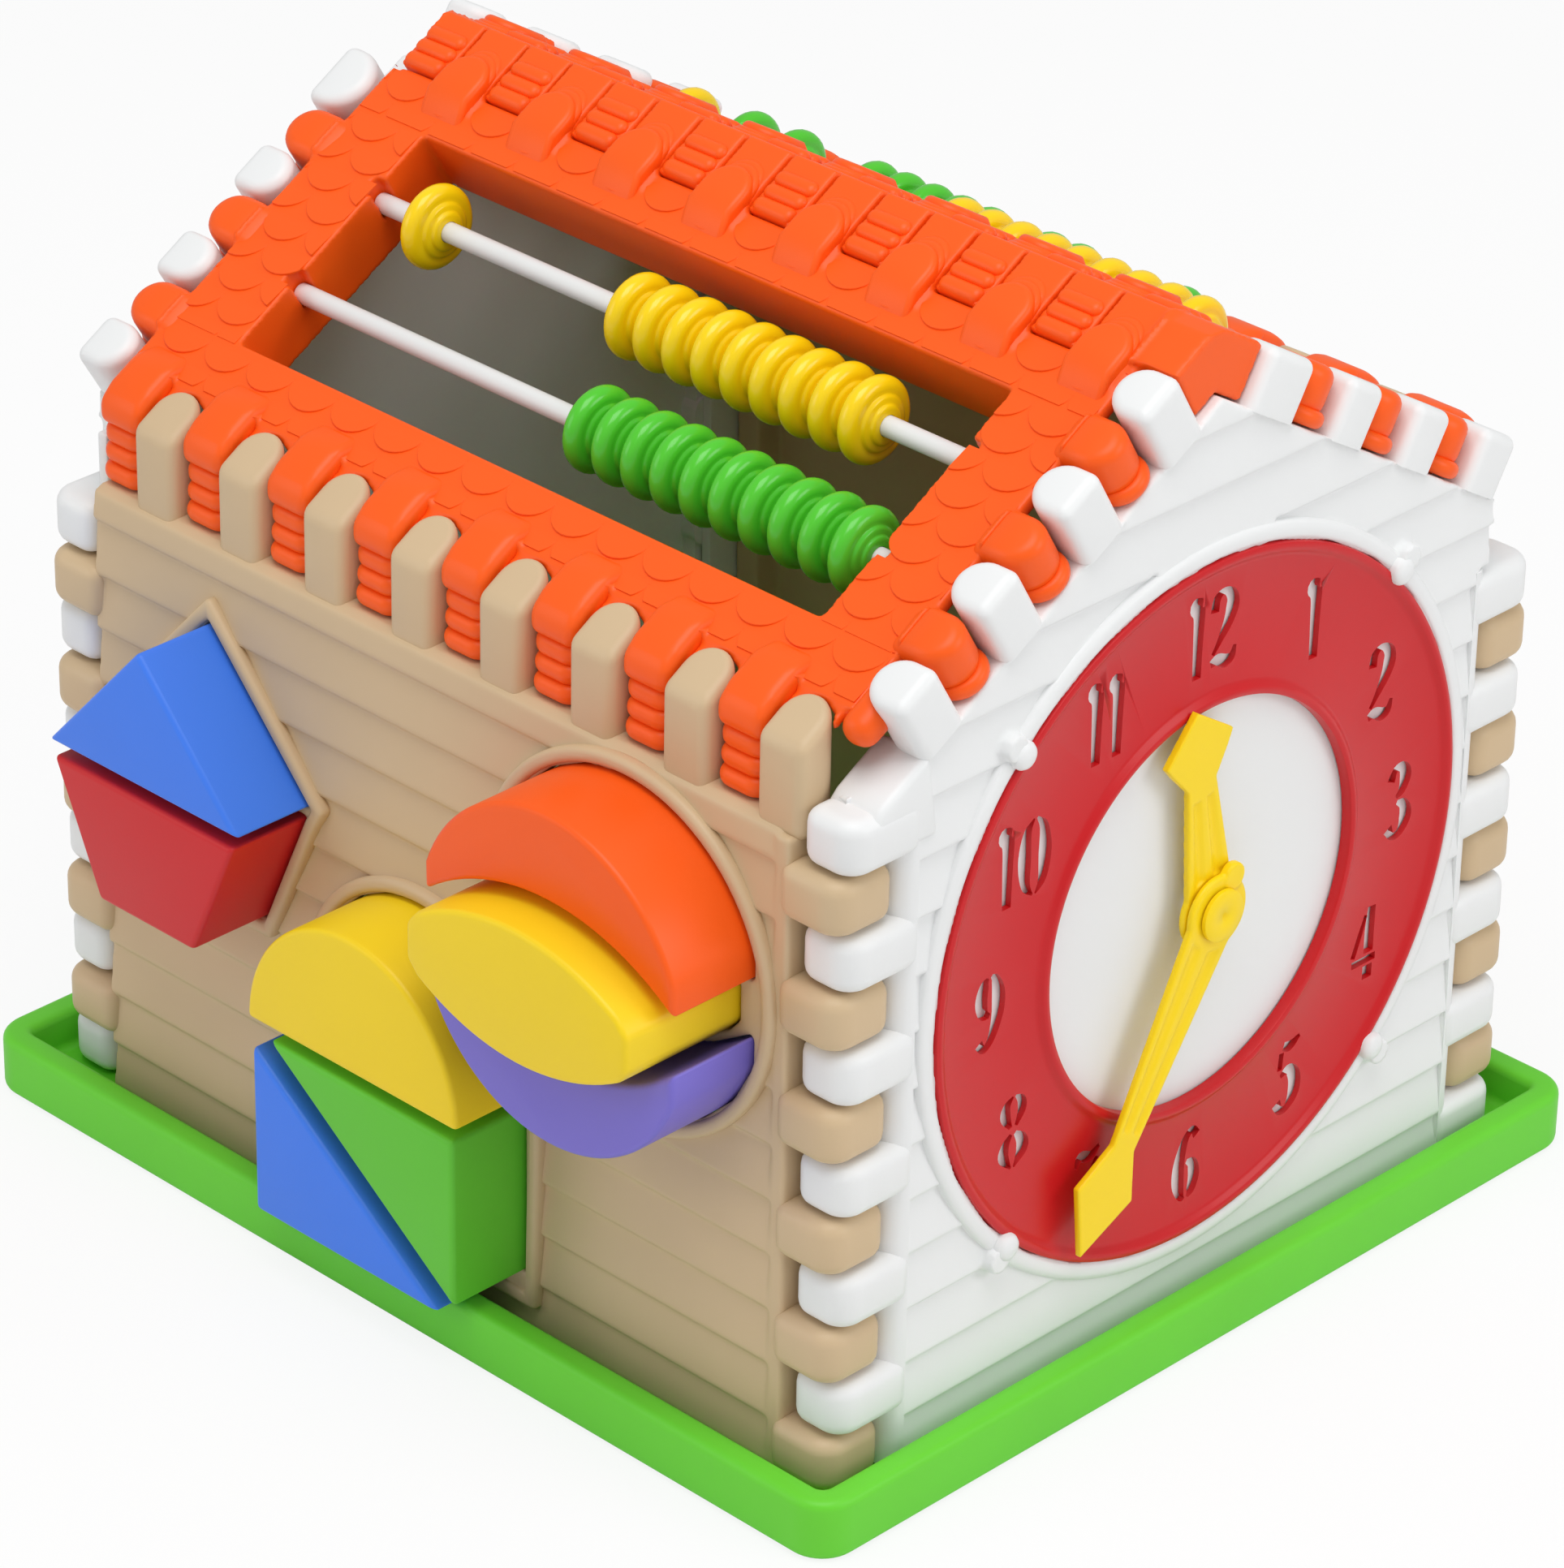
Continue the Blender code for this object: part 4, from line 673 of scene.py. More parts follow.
FAR_TONGUES = (33.35 * MM, 1.4 * MM)
TONGUES = 3

roof_plastic = moulded("roof_plastic", ROOF_ORANGE, roughness=0.4, drift=0.04, grain=0.03)


def one_scale():
    """A half disc that rises towards its round edge."""
    scale = added(bpy.ops.mesh.primitive_cylinder_add, vertices=SCALE_CORNERS, radius=SCALE_RADIUS,
                  depth=2 * SCALE_FOOT)
    edit(scale)
    bpy.ops.mesh.bisect(plane_co=(0, 0, 0), plane_no=(0, 1, 0), clear_inner=True, use_fill=True)
    done()
    for corner in scale.data.vertices:
        if corner.co.z > 0:
            corner.co.z = SCALE_STEP * corner.co.y / SCALE_RADIUS - SCALE_SUNK
    round_edges(scale, SCALE_ROUNDING, segments=1, angle=50)
    return scale


def scale_band(model, across, down):
    """All scales of one straight strip of the frame, cut off at its borders."""
    copies = []
    row = 0
    height = down[0] - SCALE_RADIUS
    while height < down[1]:
        count = int((across[1] - across[0]) / SCALE_PITCH) + 3
        start = math.floor(across[0] / SCALE_PITCH) - 1 + (row % 2) / 2
        for index in range(count):
            copy = copied("scale", model.data)
            copy.location = ((start + index) * SCALE_PITCH, height, 0)
            copies.append(copy)
        row += 1
        height += SCALE_ROW
    band = joined("scale_band", copies)
    settle(band)
    edit(band)
    for point, normal in (
        ((across[0], 0, 0), (-1, 0, 0)), ((across[1], 0, 0), (1, 0, 0)),
        ((0, down[0], 0), (0, -1, 0)), ((0, down[1], 0), (0, 1, 0)),
    ):
        bpy.ops.mesh.select_all(action="SELECT")
        bpy.ops.mesh.bisect(plane_co=point, plane_no=normal, clear_outer=True, use_fill=True)
    done()
    return band


def eave_thumb():
    """A cushion that bends over the eaves on three fat rolls, for the middle of the front edge."""
    places = ((PAD_START, -PAD_DEPTH), (PAD_START, PAD_SUNK), (PAD_CREST, PAD_RISE), (PAD_BEND, PAD_RISE))
    spots = [slope_frame(0) @ Vector((0, -down, rise)) for down, rise in places]
    side = [(spot.y, spot.z) for spot in spots]
    side += [(EAVE_FRONT, PAD_SHOULDER), (EAVE_FRONT, PAD_FOOT), (EAVE_BACK, PAD_FOOT)]
    pad = prism("eave_thumb", [(-PAD_HALF, y, z) for y, z in side], (2 * PAD_HALF, 0, 0))
    round_edges(pad, PAD_ROUNDING, segments=6, angle=15)
    pieces = [pad]
    height = (PAD_FOOT - ROLL_FOOT) / ROLLS
    for index in range(ROLLS):
        low = ROLL_FOOT + height * index
        front = ROLL_FRONT + ROLL_STEP * index + ROLL_CORNER
        plan = [(ROLL_HALF, EAVE_BACK), (-ROLL_HALF, EAVE_BACK)]
        plan += arc((ROLL_CORNER - ROLL_HALF, front), ROLL_CORNER, 180, 270, ROLL_CORNER_STEPS)
        plan += arc((ROLL_HALF - ROLL_CORNER, front), ROLL_CORNER, 270, 360, ROLL_CORNER_STEPS)
        roll = prism("roll", [(x, y, low) for x, y in plan], (0, 0, height + ROLL_OVERLAP))
        round_edges(roll, ROLL_ROUNDING, segments=5, angle=40)
        pieces.append(roll)
    return joined("eave_thumb", pieces)


def ramp(piece, crest, fall, low):
    """Let the top of a bar slope down from its crest to a low end, in the direction of the fall."""
    edit(piece)
    bpy.ops.mesh.bisect(plane_co=crest, plane_no=fall)
    done()
    for corner in piece.data.vertices:
        if corner.co.z > 0 and (corner.co - Vector(crest)).dot(Vector(fall)) > TOUCH:
            corner.co.z = low


def ridge_finger():
    """A pad that ends round near the crest, two ripples round it, and rolls on the other slope."""
    pieces = []
    for inset, rise, step in RIDGE_STEPS:
        half = RIDGE_PAD_HALF - inset
        tip = arc((0, half + RIDGE_PAD_TIP - step), half, 180, 360, ROUND_END_STEPS)
        outline = [(half, RIDGE_PAD_START), (-half, RIDGE_PAD_START), *tip]
        points = [(x, -down, RIDGE_PAD_FOOT) for x, down in outline]
        pad = prism("ridge_pad", points, (0, 0, rise - RIDGE_PAD_FOOT))
        ramp(pad, (0, -RIDGE_PAD_FALL, 0), (0, -1, 0), RIDGE_PAD_SUNK)
        round_edges(pad, min(RIDGE_PAD_ROUNDING, rise), segments=5, angle=40)
        pieces.append(moved(pad, slope_frame(0)))
    across = (-RIDGE_ROLL_HALF, RIDGE_ROLL_HALF)
    for down in RIDGE_ROLL_PLACES:
        roll = slope_box(math.pi, across, down, (-RIDGE_ROLL_RISE, RIDGE_ROLL_RISE))
        round_edges(roll, RIDGE_ROLL_ROUNDING, segments=4, angle=30)
        pieces.append(roll)
    return joined("ridge_finger", pieces)


def tongue_row(turn, flip, first, rise):
    """The round tongues of one end of a panel, each with a roll round its foot."""
    roll_reach = TONGUE_REACH + TONGUE_ROLL
    roll_half = TONGUE_HALF + TONGUE_ROLL_SIDE
    parts = (
        (TONGUE_REACH, TONGUE_HALF, TONGUE_WAIST - TONGUE_ROLL, rise, TONGUE_ROUNDING),
        (roll_reach, roll_half, TONGUE_FOOT, TONGUE_WAIST, TONGUE_ROLL_ROUNDING),
    )
    row = []
    for reach, half, low, high, rounding in parts:
        length = reach - TONGUE_START
        outline = [(0, half), (0, -half), *arc((length - half, 0), half, -90, 90, ROUND_END_STEPS)]
        model = prism("tongue", [(x, y, low) for x, y in outline], (0, 0, high - low))
        if high == rise:
            ramp(model, (TONGUE_RAMP, 0, 0), (-1, 0, 0), TONGUE_SUNK)
        round_edges(model, rounding, segments=4, angle=40)
        for index in range(TONGUES):
            spot = (math.cos(flip) * TONGUE_START, -first - THUMB_PITCH * index, 0)
            row.append(on_slope(model, turn, flip, spot))
        bpy.data.objects.remove(model)
    return row


def panel_cutters(turn):
    """What the modelled thumbs, tongues and ridge fingers take the place of."""
    boxes = []
    for index in range(FINGERS):
        middle = EAVE_FIRST + FINGER_PITCH * index
        across = (middle - FINGER_HALF, middle + FINGER_HALF)
        down = (EAVE_CUT, EAVE_CUT + 3 * CUT_ROOM)
        boxes.append(slope_box(turn, across, down, (-2 * CUT_ROOM, CUT_ROOM)))
    reach = TONGUE_CUT + CUT_ROOM
    room = THUMB_HALF + TONGUE_CUT_ROOM
    for (first, _), across in ((NEAR_TONGUES, (TONGUE_CUT, reach)), (FAR_TONGUES, (-reach, -TONGUE_CUT))):
        down = (first - room, first + (TONGUES - 1) * THUMB_PITCH + room)
        boxes.append(slope_box(turn, across, down, (-CUT_ROOM, CUT_ROOM)))
    across = (-TONGUE_CUT, RIDGE_CUT_END)
    boxes.append(slope_box(turn, across, (-CUT_ROOM / 2, RIDGE_PAD_START), (RIDGE_CUT, CUT_ROOM)))
    for start, down in LOBE_CUTS:
        boxes.append(slope_box(turn, (start, reach), (down, reach), (-CUT_ROOM, CUT_ROOM)))
    across = (-RIDGE_CUT_END, TONGUE_CUT)
    down = (-CUT_ROOM / 2, RIDGE_CUT_BACK)
    boxes.append(slope_box(turn + math.pi, across, down, (RIDGE_CUT, CUT_ROOM)))
    return boxes


scale_model = one_scale()
thumb_model = eave_thumb()
finger_model = ridge_finger()
for panel, turn in (("front_roof", 0), ("back_roof", math.pi)):
    shell = softened(panel, panel_cutters(turn), **ROOF_MELT)
    dress(shell, roof_plastic, panel, "orange_plastic", panel)

    scales = joined(panel + "_scales", [scale_band(scale_model, *band) for band in FRAME_BANDS])
    moved(scales, slope_frame(turn) @ Matrix.Rotation(math.pi, 4, "Z"))
    shade(scales, 20)
    dress(scales, roof_plastic, panel, "orange_plastic")

    rows = (thumb_model, EAVE_FIRST, "_thumbs"), (finger_model, FINGER_FIRST, "_ridge")
    for model, first, name in rows:
        fingers = finger_row(panel + name, model, turn, first)
        shade(fingers, 35)
        dress(fingers, roof_plastic, panel, "orange_plastic")

    tongues = tongue_row(turn, 0, *NEAR_TONGUES) + tongue_row(turn, math.pi, *FAR_TONGUES)
    lobe = slope_box(turn, LOBE_ACROSS, LOBE_DOWN, LOBE_RISE)
    round_edges(lobe, LOBE_ROUNDING, segments=5, angle=30)
    tongues = joined(panel + "_tongues", [*tongues, lobe])
    shade(tongues, 35)
    dress(tongues, roof_plastic, panel, "orange_plastic")
for model in (scale_model, thumb_model, finger_model):
    bpy.data.objects.remove(model)


# Rods. Plain white round bars, snapped into notches of the frames.
ROD_WHITE = (0.8, 0.81, 0.8)
ROD_RADIUS = 1.95 * MM
ROD_STEPS = 32
ROD_ROUNDING = 0.35 * MM

rod_plastic = moulded("rod_plastic", ROD_WHITE, roughness=0.34, drift=0.02, grain=0.015)
for panel in ("front", "back"):
    for level in ("upper", "lower"):
        name = panel + "_" + level + "_rod"
        low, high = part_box(name)
        rod = added(bpy.ops.mesh.primitive_cylinder_add, vertices=ROD_STEPS, radius=ROD_RADIUS,
                    depth=high.x - low.x, location=(low + high) / 2, rotation=(0, math.pi / 2, 0))
        rod.name = name + "_bar"
        settle(rod)
        round_edges(rod, ROD_ROUNDING, segments=3, angle=60)
        shade(rod)
        dress(rod, rod_plastic, panel + "_roof", "white_plastic", name)


# Beads. Glossy yellow and green rings: a fat round rim and a stepped hub on both sides, turned
# about the rod. Five green ones on the back are one moulding.
BEAD_PITCH = 7.2 * MM
BEAD_HALF = 3.45 * MM
BEAD_SIDE = [
    (3.45, 2.05), (3.45, 3.0), (3.36, 3.5), (3.1, 3.75), (2.85, 3.85), (2.75, 4.1), (2.7, 4.7),
    (2.5, 5.15), (2.15, 5.35), (2.0, 5.6), (2.06, 6.1), (1.95, 6.8), (1.6, 7.45), (1.05, 7.95),
    (0.4, 8.18),
]
BEAD_COLOURS = {"yellow": (0.97, 0.67, 0.004), "green": (0.085, 0.58, 0.03)}
BEAD_DRIFTS = {"yellow": 0.03, "green": 0.05}
BEAD_STEPS = 36


def lathed(points, axis_point, steps, name):
    """Turn a closed section of (along X, radius) points in mm about an axis along X."""
    piece = added(bpy.ops.mesh.primitive_circle_add, vertices=len(points), radius=MM,
                  fill_type="NOTHING")
    piece.name = name
    for corner, (along, radius) in zip(piece.data.vertices, points):
        corner.co = Vector((along * MM, 0, radius * MM)) + Vector(axis_point)
    edit(piece, "VERT")
    bpy.ops.mesh.spin(steps=steps, angle=math.tau, center=axis_point, axis=(1, 0, 0))
    done()
    face_outwards(piece)
    return piece


bead_section = BEAD_SIDE + [(-along, radius) for along, radius in reversed(BEAD_SIDE)]
bead_model = lathed(bead_section, (0, 0, 0), BEAD_STEPS, "bead_model")
shade(bead_model, 50)
bead_plastics = {
    name: moulded(name + "_gloss", colour, roughness=0.24, drift=BEAD_DRIFTS[name], grain=0.01, coat=0.25)
    for name, colour in BEAD_COLOURS.items()
}
for body, nodes in frame["record"]["behaviour"]["bodies"].items():
    for node in nodes:
        if "_bead_" not in node:
            continue
        low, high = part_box(node)
        count = round((high.x - low.x - 2 * BEAD_HALF) / BEAD_PITCH) + 1
        colour, level = ("yellow", "upper") if "yellow" in node else ("green", "lower")
        rod_low, rod_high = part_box(node.split("_")[0] + "_" + level + "_rod")
        centre = (rod_low + rod_high) / 2
        rings = []
        for index in range(count):
            copy = copied(node + "_ring", bead_model.data)
            copy.location = (low.x + BEAD_HALF + BEAD_PITCH * index, centre.y, centre.z)
            rings.append(copy)
        bead = joined(node + "_ring", rings)
        settle(bead)
        dress(bead, bead_plastics[colour], body, "bead_" + colour + "_plastic", node)
bpy.data.objects.remove(bead_model)


# Clock. A glossy red ring with raised rims lies in the white dial, held by four buttons; its
# stencil numerals are cut right through it. Two yellow hands with grooves along the shank turn
# on a shaft and are kept there by a cap with a dimple.
CLOCK_HEIGHT = 88.4 * MM
CLOCK_STEPS = 144
RING_RED = (0.6, 0.008, 0.012)
RING_SECTION = [
    (101.8, 39.7), (103.5, 39.7), (103.95, 39.85), (104.2, 40.4), (104.2, 40.9), (103.9, 41.5),
    (103.3, 42.0), (103.0, 42.8), (103.0, 65.0), (103.3, 65.8), (103.9, 66.3), (104.2, 66.9),
    (104.2, 67.4), (103.95, 67.95), (103.5, 68.1), (101.8, 68.1),
]
DIAL_LIP_SECTION = [
    (101.4, 68.35), (103.2, 68.35), (103.6, 68.6), (103.8, 69.2), (103.8, 70.4), (103.6, 71.2),
    (103.1, 71.7), (101.4, 71.9),
]
BUTTONS = 4
BUTTON_SPREAD = 69.4 * MM
BUTTON_STEPS = 24
BUTTON_SECTION = [
    (102.5, 0.02), (102.5, 2.7), (104.6, 2.7), (105.3, 2.3), (105.7, 1.4), (105.8, 0.02),
]
NUMERAL_SPREAD = 54.0 * MM
NUMERAL_HEIGHT = 15.6 * MM
NUMERAL_GAP_SHARE = 0.1
NUMERAL_CUT_BACK = 100.0 * MM
NUMERAL_CUT_DEPTH = 6.0 * MM
DIGIT_WIDTH_SHARES = {"1": 0.24}
DIGIT_WIDTH_SHARE = 0.44
STROKE_PERCENTS = {
    "0": [
        [(21, 2, 1), (10, 18, 5), (7, 50, 7.5), (10, 82, 5), (21, 98, 1)],
        [(26, 98, 1), (37, 82, 5), (40, 50, 7.5), (37, 18, 5), (26, 2, 1)],
    ],
    "1": [
        [(14, 0, 5), (14, 50, 6), (14, 80, 7), (11, 93, 9), (19, 100, 1)],
    ],
    "2": [
        [(6, 74, 5), (9, 90, 4.5), (21, 96.5, 3), (33, 88, 6), (36, 74, 8), (30, 56, 6.5),
         (17, 36, 3.5), (6, 21, 2)],
        [(3, 10, 3.5), (14, 13, 5), (27, 7, 6), (38, 9, 4.5), (43, 22, 2)],
    ],
    "3": [
        [(7, 80, 5), (14, 94, 3.5), (26, 94, 5), (33, 80, 7.5), (28, 63, 5), (18, 56, 2)],
        [(20, 49, 2), (32, 42, 5.5), (37, 25, 8), (29, 8, 5), (15, 5, 3.5), (6, 18, 5.5)],
    ],
    "4": [
        [(31, 35, 6), (31, 65, 6), (33, 97, 5)],
        [(31, 0, 6), (31, 18, 6)],
        [(23, 88, 2), (13, 62, 3), (3, 36, 3)],
        [(2, 26.5, 3.5), (20, 26.5, 3.5), (44, 26.5, 3.5)],
    ],
    "5": [
        [(13, 93, 4), (25, 90, 5), (41, 98, 2)],
        [(10, 85, 3), (8, 62, 3)],
        [(10, 53, 2), (24, 58, 5), (35, 44, 7.5), (35, 22, 7.5), (24, 6, 4), (12, 6, 4),
         (5, 18, 5.5)],
    ],
    "6": [
        [(38, 84, 4.5), (30, 94, 3.5), (18, 84, 4.5), (9, 56, 7), (8.5, 30, 7.5), (14, 10, 4.5),
         (20, 3, 1.5)],
        [(22, 54, 2), (32, 47, 5.5), (36, 30, 7), (32, 12, 5.5), (26, 4, 1.5)],
    ],
    "7": [
        [(3, 80, 2), (10, 93, 5), (26, 88, 5), (41, 97, 2)],
        [(38, 83, 2), (26, 58, 4.5), (18, 30, 6.5), (17, 3, 7)],
    ],
    "8": [
        [(20, 97, 1), (10, 88, 4.5), (8, 75, 6), (17, 57, 2)],
        [(24, 97, 1), (33, 88, 4.5), (35, 75, 5), (26, 57, 2)],
        [(18, 48, 2), (9, 36, 5), (7, 22, 6), (19, 3, 1)],
        [(25, 48, 2), (35, 36, 6), (37, 22, 7), (24, 3, 1)],
    ],
}
STROKE_SHARES = {
    digit: [[[part / 100 for part in point] for point in line] for line in lines]
    for digit, lines in STROKE_PERCENTS.items()
}
STROKE_SHARES["9"] = [
    [(DIGIT_WIDTH_SHARE - x, 1 - y, half) for x, y, half in line] for line in STROKE_SHARES["6"]
]
STROKE_STEPS = 5
STROKE_BOLDNESS = 1.4
STROKE_LEAST = 0.008
HAND_YELLOW = (1.0, 0.7, 0.006)
HAND_THICKNESS = 1.5
HAND_STEPS = 64
HAND_MELT = {"cell": 0.28 * MM, "passes": 4, "share": 0.3}
HUB_SECTION = [
    (0.0, 3.3), (0.0, 7.0), (0.4, 7.4), (1.1, 7.4), (HAND_THICKNESS, 7.0), (HAND_THICKNESS, 3.3),
]
SHANK_START = 4.2
SHANK_LAP = 3.0
SHANK_BACK_SHARE = 0.96
GROOVE_DEPTH = 0.55
GROOVE_HALF = [(0.16, 0), (0.34, 1), (0.5, 1), (0.72, 0), (0.93, 0), (1, 0.4)]
KITE_CORNER = (1.5, 2.5)
KITE_ROOT_SHARE = 0.6
NUB_PLACE = -7.2
NUB_RADIUS = 2.6
NUB_STEPS = 20
NUB_THICKNESS = 1.8
CAP_STEPS = 48
CAP_SECTION = [
    (108.05, 0.02), (108.05, 5.0), (108.8, 5.0), (109.05, 4.6), (109.05, 0.9), (108.7, 0.6),
    (108.6, 0.02),
]


def stroke(points):
    """Outline of a pen stroke along a smooth line of (x, y, half width) points."""
    line = [Vector(point) for point in points]
    line = [2 * line[0] - line[1], *line, 2 * line[-1] - line[-2]]
    middle = []
    for a, b, c, d in zip(line, line[1:], line[2:], line[3:]):
        for step in range(STROKE_STEPS):
            t = step / STROKE_STEPS
            middle.append(b + (c - a) * t / 2 + (a - 2.5 * b + 2 * c - d / 2) * t * t
                          + (1.5 * b - a / 2 - 1.5 * c + d / 2) * t ** 3)
    middle.append(line[-2])
    left, right = [], []
    for index, point in enumerate(middle):
        ahead = middle[min(index + 1, len(middle) - 1)] - middle[max(index - 1, 0)]
        half = STROKE_BOLDNESS * max(point.z, STROKE_LEAST)
        across = Vector((-ahead.y, ahead.x)).normalized() * half
        left.append((point.x + across.x, point.y + across.y))
        right.append((point.x - across.x, point.y - across.y))
    return left + right[::-1]


ring = lathed(RING_SECTION, (0, 0, CLOCK_HEIGHT), CLOCK_STEPS, "clock_ring_red")
cuts = []
for hour in range(1, 13):
    digits = str(hour)
    widths = [DIGIT_WIDTH_SHARES.get(digit, DIGIT_WIDTH_SHARE) for digit in digits]
    span = sum(widths) + NUMERAL_GAP_SHARE * (len(digits) - 1)
    angle = math.tau * hour / 12
    side = NUMERAL_SPREAD * math.sin(angle) - span / 2 * NUMERAL_HEIGHT
    foot = CLOCK_HEIGHT + NUMERAL_SPREAD * math.cos(angle) - NUMERAL_HEIGHT / 2
    for digit, width in zip(digits, widths):
        for line in STROKE_SHARES[digit]:
            points = [(NUMERAL_CUT_BACK, side + x * NUMERAL_HEIGHT, foot + y * NUMERAL_HEIGHT)
                      for x, y in stroke(line)]
            cuts.append(prism("numeral_stroke", points, (NUMERAL_CUT_DEPTH, 0, 0)))
        side += (width + NUMERAL_GAP_SHARE) * NUMERAL_HEIGHT
cut_away(ring, joined("numeral_cut", cuts), use_self=True)
shade(ring, 35)
ring_plastic = moulded("ring_plastic", RING_RED, roughness=0.34, drift=0.04, grain=0.01, coat=0.04)
dress(ring, ring_plastic, "house", "red_plastic", "clock_ring")

lip = lathed(DIAL_LIP_SECTION, (0, 0, CLOCK_HEIGHT), CLOCK_STEPS, "dial_lip")
shade(lip, 60)
dress(lip, gable_plastic, "house", "white_plastic")
for index in range(BUTTONS):
    angle = math.tau * (index + 1 / 2) / BUTTONS
    spot = (0, BUTTON_SPREAD * math.sin(angle), CLOCK_HEIGHT + BUTTON_SPREAD * math.cos(angle))
    button = lathed(BUTTON_SECTION, spot, BUTTON_STEPS, "dial_button")
    shade(button, 60)
    dress(button, gable_plastic, "house", "white_plastic")


def hand_plate(name, back, outline, thickness):
    """A flat plate of one thickness from an outline in (y, z), all in mm."""
    return prism(name, [(back * MM, y * MM, z * MM) for y, z in outline], (thickness * MM, 0, 0))


def clock_hand(node, turn, tip, head, head_half, neck, neck_half, root_half, nub):
    """A hand laid along its turn: hub, grooved shank that narrows to the neck, and a kite head."""
    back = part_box(node)[0].x / MM
    hub = [(back + along, radius) for along, radius in HUB_SECTION]
    pieces = [lathed(hub, (0, 0, 0), HAND_STEPS, node)]
    grooves = [(-share, depth) for share, depth in reversed(GROOVE_HALF)] + GROOVE_HALF
    section = [(back, root_half * SHANK_BACK_SHARE), (back, -root_half * SHANK_BACK_SHARE)]
    for share, depth in grooves:
        section.append((back + HAND_THICKNESS - GROOVE_DEPTH * depth, root_half * share))
    foot = [(x * MM, y * MM, SHANK_START * MM) for x, y in section]
    shank = prism(node, foot, (0, 0, (neck - SHANK_LAP) * MM))
    for corner in shank.data.vertices:
        if corner.co.z > neck * MM / 2:
            corner.co.y *= neck_half / root_half
    pieces.append(shank)
    cut_side, cut_up = KITE_CORNER
    kite = [(0, tip), (head_half, head), (head_half - cut_side, head - cut_up), (neck_half, neck),
            (neck_half * KITE_ROOT_SHARE, neck - SHANK_LAP)]
    kite += [(-y, z) for y, z in reversed(kite[1:])]
    pieces.append(hand_plate(node, back, kite, HAND_THICKNESS))
    if nub:
        disc = arc((0, NUB_PLACE), NUB_RADIUS, 0, 360, NUB_STEPS)[:-1]
        pieces.append(hand_plate(node, back, disc, NUB_THICKNESS))
    hand = joined(node + "_yellow", pieces)
    melt(hand, **HAND_MELT)
    moved(hand, Matrix.Translation((0, 0, CLOCK_HEIGHT)) @ Matrix.Rotation(-math.radians(turn), 4, "X"))
    bpy.ops.object.shade_smooth()
    dress(hand, hand_plastic, node, "yellow_plastic", node)


hand_plastic = moulded("hand_plastic", HAND_YELLOW, roughness=0.36, drift=0.03, grain=0.015)
clock_hand("hour_hand", turn=-8.5, tip=42.0, head=34.5, head_half=8.6,
           neck=27.0, neck_half=3.6, root_half=5.8, nub=False)
clock_hand("minute_hand", turn=210.0, tip=66.0, head=54.0, head_half=8.4,
           neck=45.0, neck_half=3.2, root_half=6.0, nub=True)
cap = lathed(CAP_SECTION, (0, 0, CLOCK_HEIGHT), CAP_STEPS, "pivot_cap")
shade(cap, 50)
dress(cap, hand_plastic, "house", "yellow_plastic", "hand_pivot")


# Blocks. Eight plain satin bars of one length, each with the outline of its opening and softly
# rounded edges. Round outlines are drawn with short steps, and all outlines are in mm.
BLOCK_ROUNDING = 1.1 * MM
BLOCK_BAR = 2.6
LENS_RADIUS = 48.0
LENS_RISE = 13.2
LENS_HALF = 27.2
LENS_TIP_LENGTH = 2.4
LENS_TIP_DROP = 1.2
LENS_STEPS = 24
CRESCENT_HALF = 30.6
CRESCENT_STEPS = 36
BLOCK_COLOURS = {
    "blue": (0.055, 0.215, 0.9),
    "red": (0.63, 0.018, 0.022),
    "yellow": (0.93, 0.665, 0.012),
    "green": (0.125, 0.57, 0.035),
    "orange": ROOF_ORANGE,
    "purple": (0.2, 0.16, 0.64),
}


def bar(name, outline, node):
    """A straight bar across the wall with this outline in (x, z), as long as its CAD node."""
    low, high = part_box(node)
    points = [(x * MM, low.y, z * MM) for x, z in outline]
    piece = prism(name, points, (0, high.y - low.y, 0))
    round_edges(piece, BLOCK_ROUNDING, segments=4, angle=25)
    shade(piece, 30)
    return piece


def in_disc(outline, sign=1):
    """An outline about (0, 0) moved into the round opening, turned upside down for sign -1."""
    return [(DISC_CENTRE[0] + sign * x, DISC_CENTRE[1] + sign * z) for x, z in outline]


trapezoid_top = PENNANT_SIDE[-1][1] - BLOCK_BAR
trapezoid_knees = [(pennant_right[1][0], trapezoid_top), (pennant_left[1][0], trapezoid_top)]
wedge_top = GATE_SPRING - BLOCK_BAR
wedge_slope = math.atan2(wedge_top - GATE_SILL, 2 * GATE_HALF)
wedge_side = BLOCK_BAR / math.sin(wedge_slope)
wedge_rise = BLOCK_BAR / math.cos(wedge_slope)
lens_centre = LENS_RISE - LENS_RADIUS
lens_turn = math.degrees(math.asin((LENS_HALF - LENS_TIP_LENGTH) / LENS_RADIUS))
lens_tip = lens_centre + math.sqrt(LENS_RADIUS ** 2 - LENS_HALF ** 2) - LENS_TIP_DROP
lens_half = [(LENS_HALF, 0), (LENS_HALF, lens_tip)]
lens_half += arc((0, lens_centre), LENS_RADIUS, 90 - lens_turn, 90 + lens_turn, LENS_STEPS)
lens_half += [(-LENS_HALF, lens_tip), (-LENS_HALF, 0)]
lens = lens_half + [(-x, -z) for x, z in lens_half[1:-1]]
inner_radius = LENS_RADIUS + BLOCK_BAR
outer_turn = math.degrees(math.asin(CRESCENT_HALF / DISC_RADIUS))
inner_turn = math.degrees(math.asin(CRESCENT_HALF / inner_radius))
crescent = arc((0, 0), DISC_RADIUS, 90 - outer_turn, 90 + outer_turn, CRESCENT_STEPS)
crescent += arc((0, lens_centre), inner_radius, 90 + inner_turn, 90 - inner_turn, LENS_STEPS)
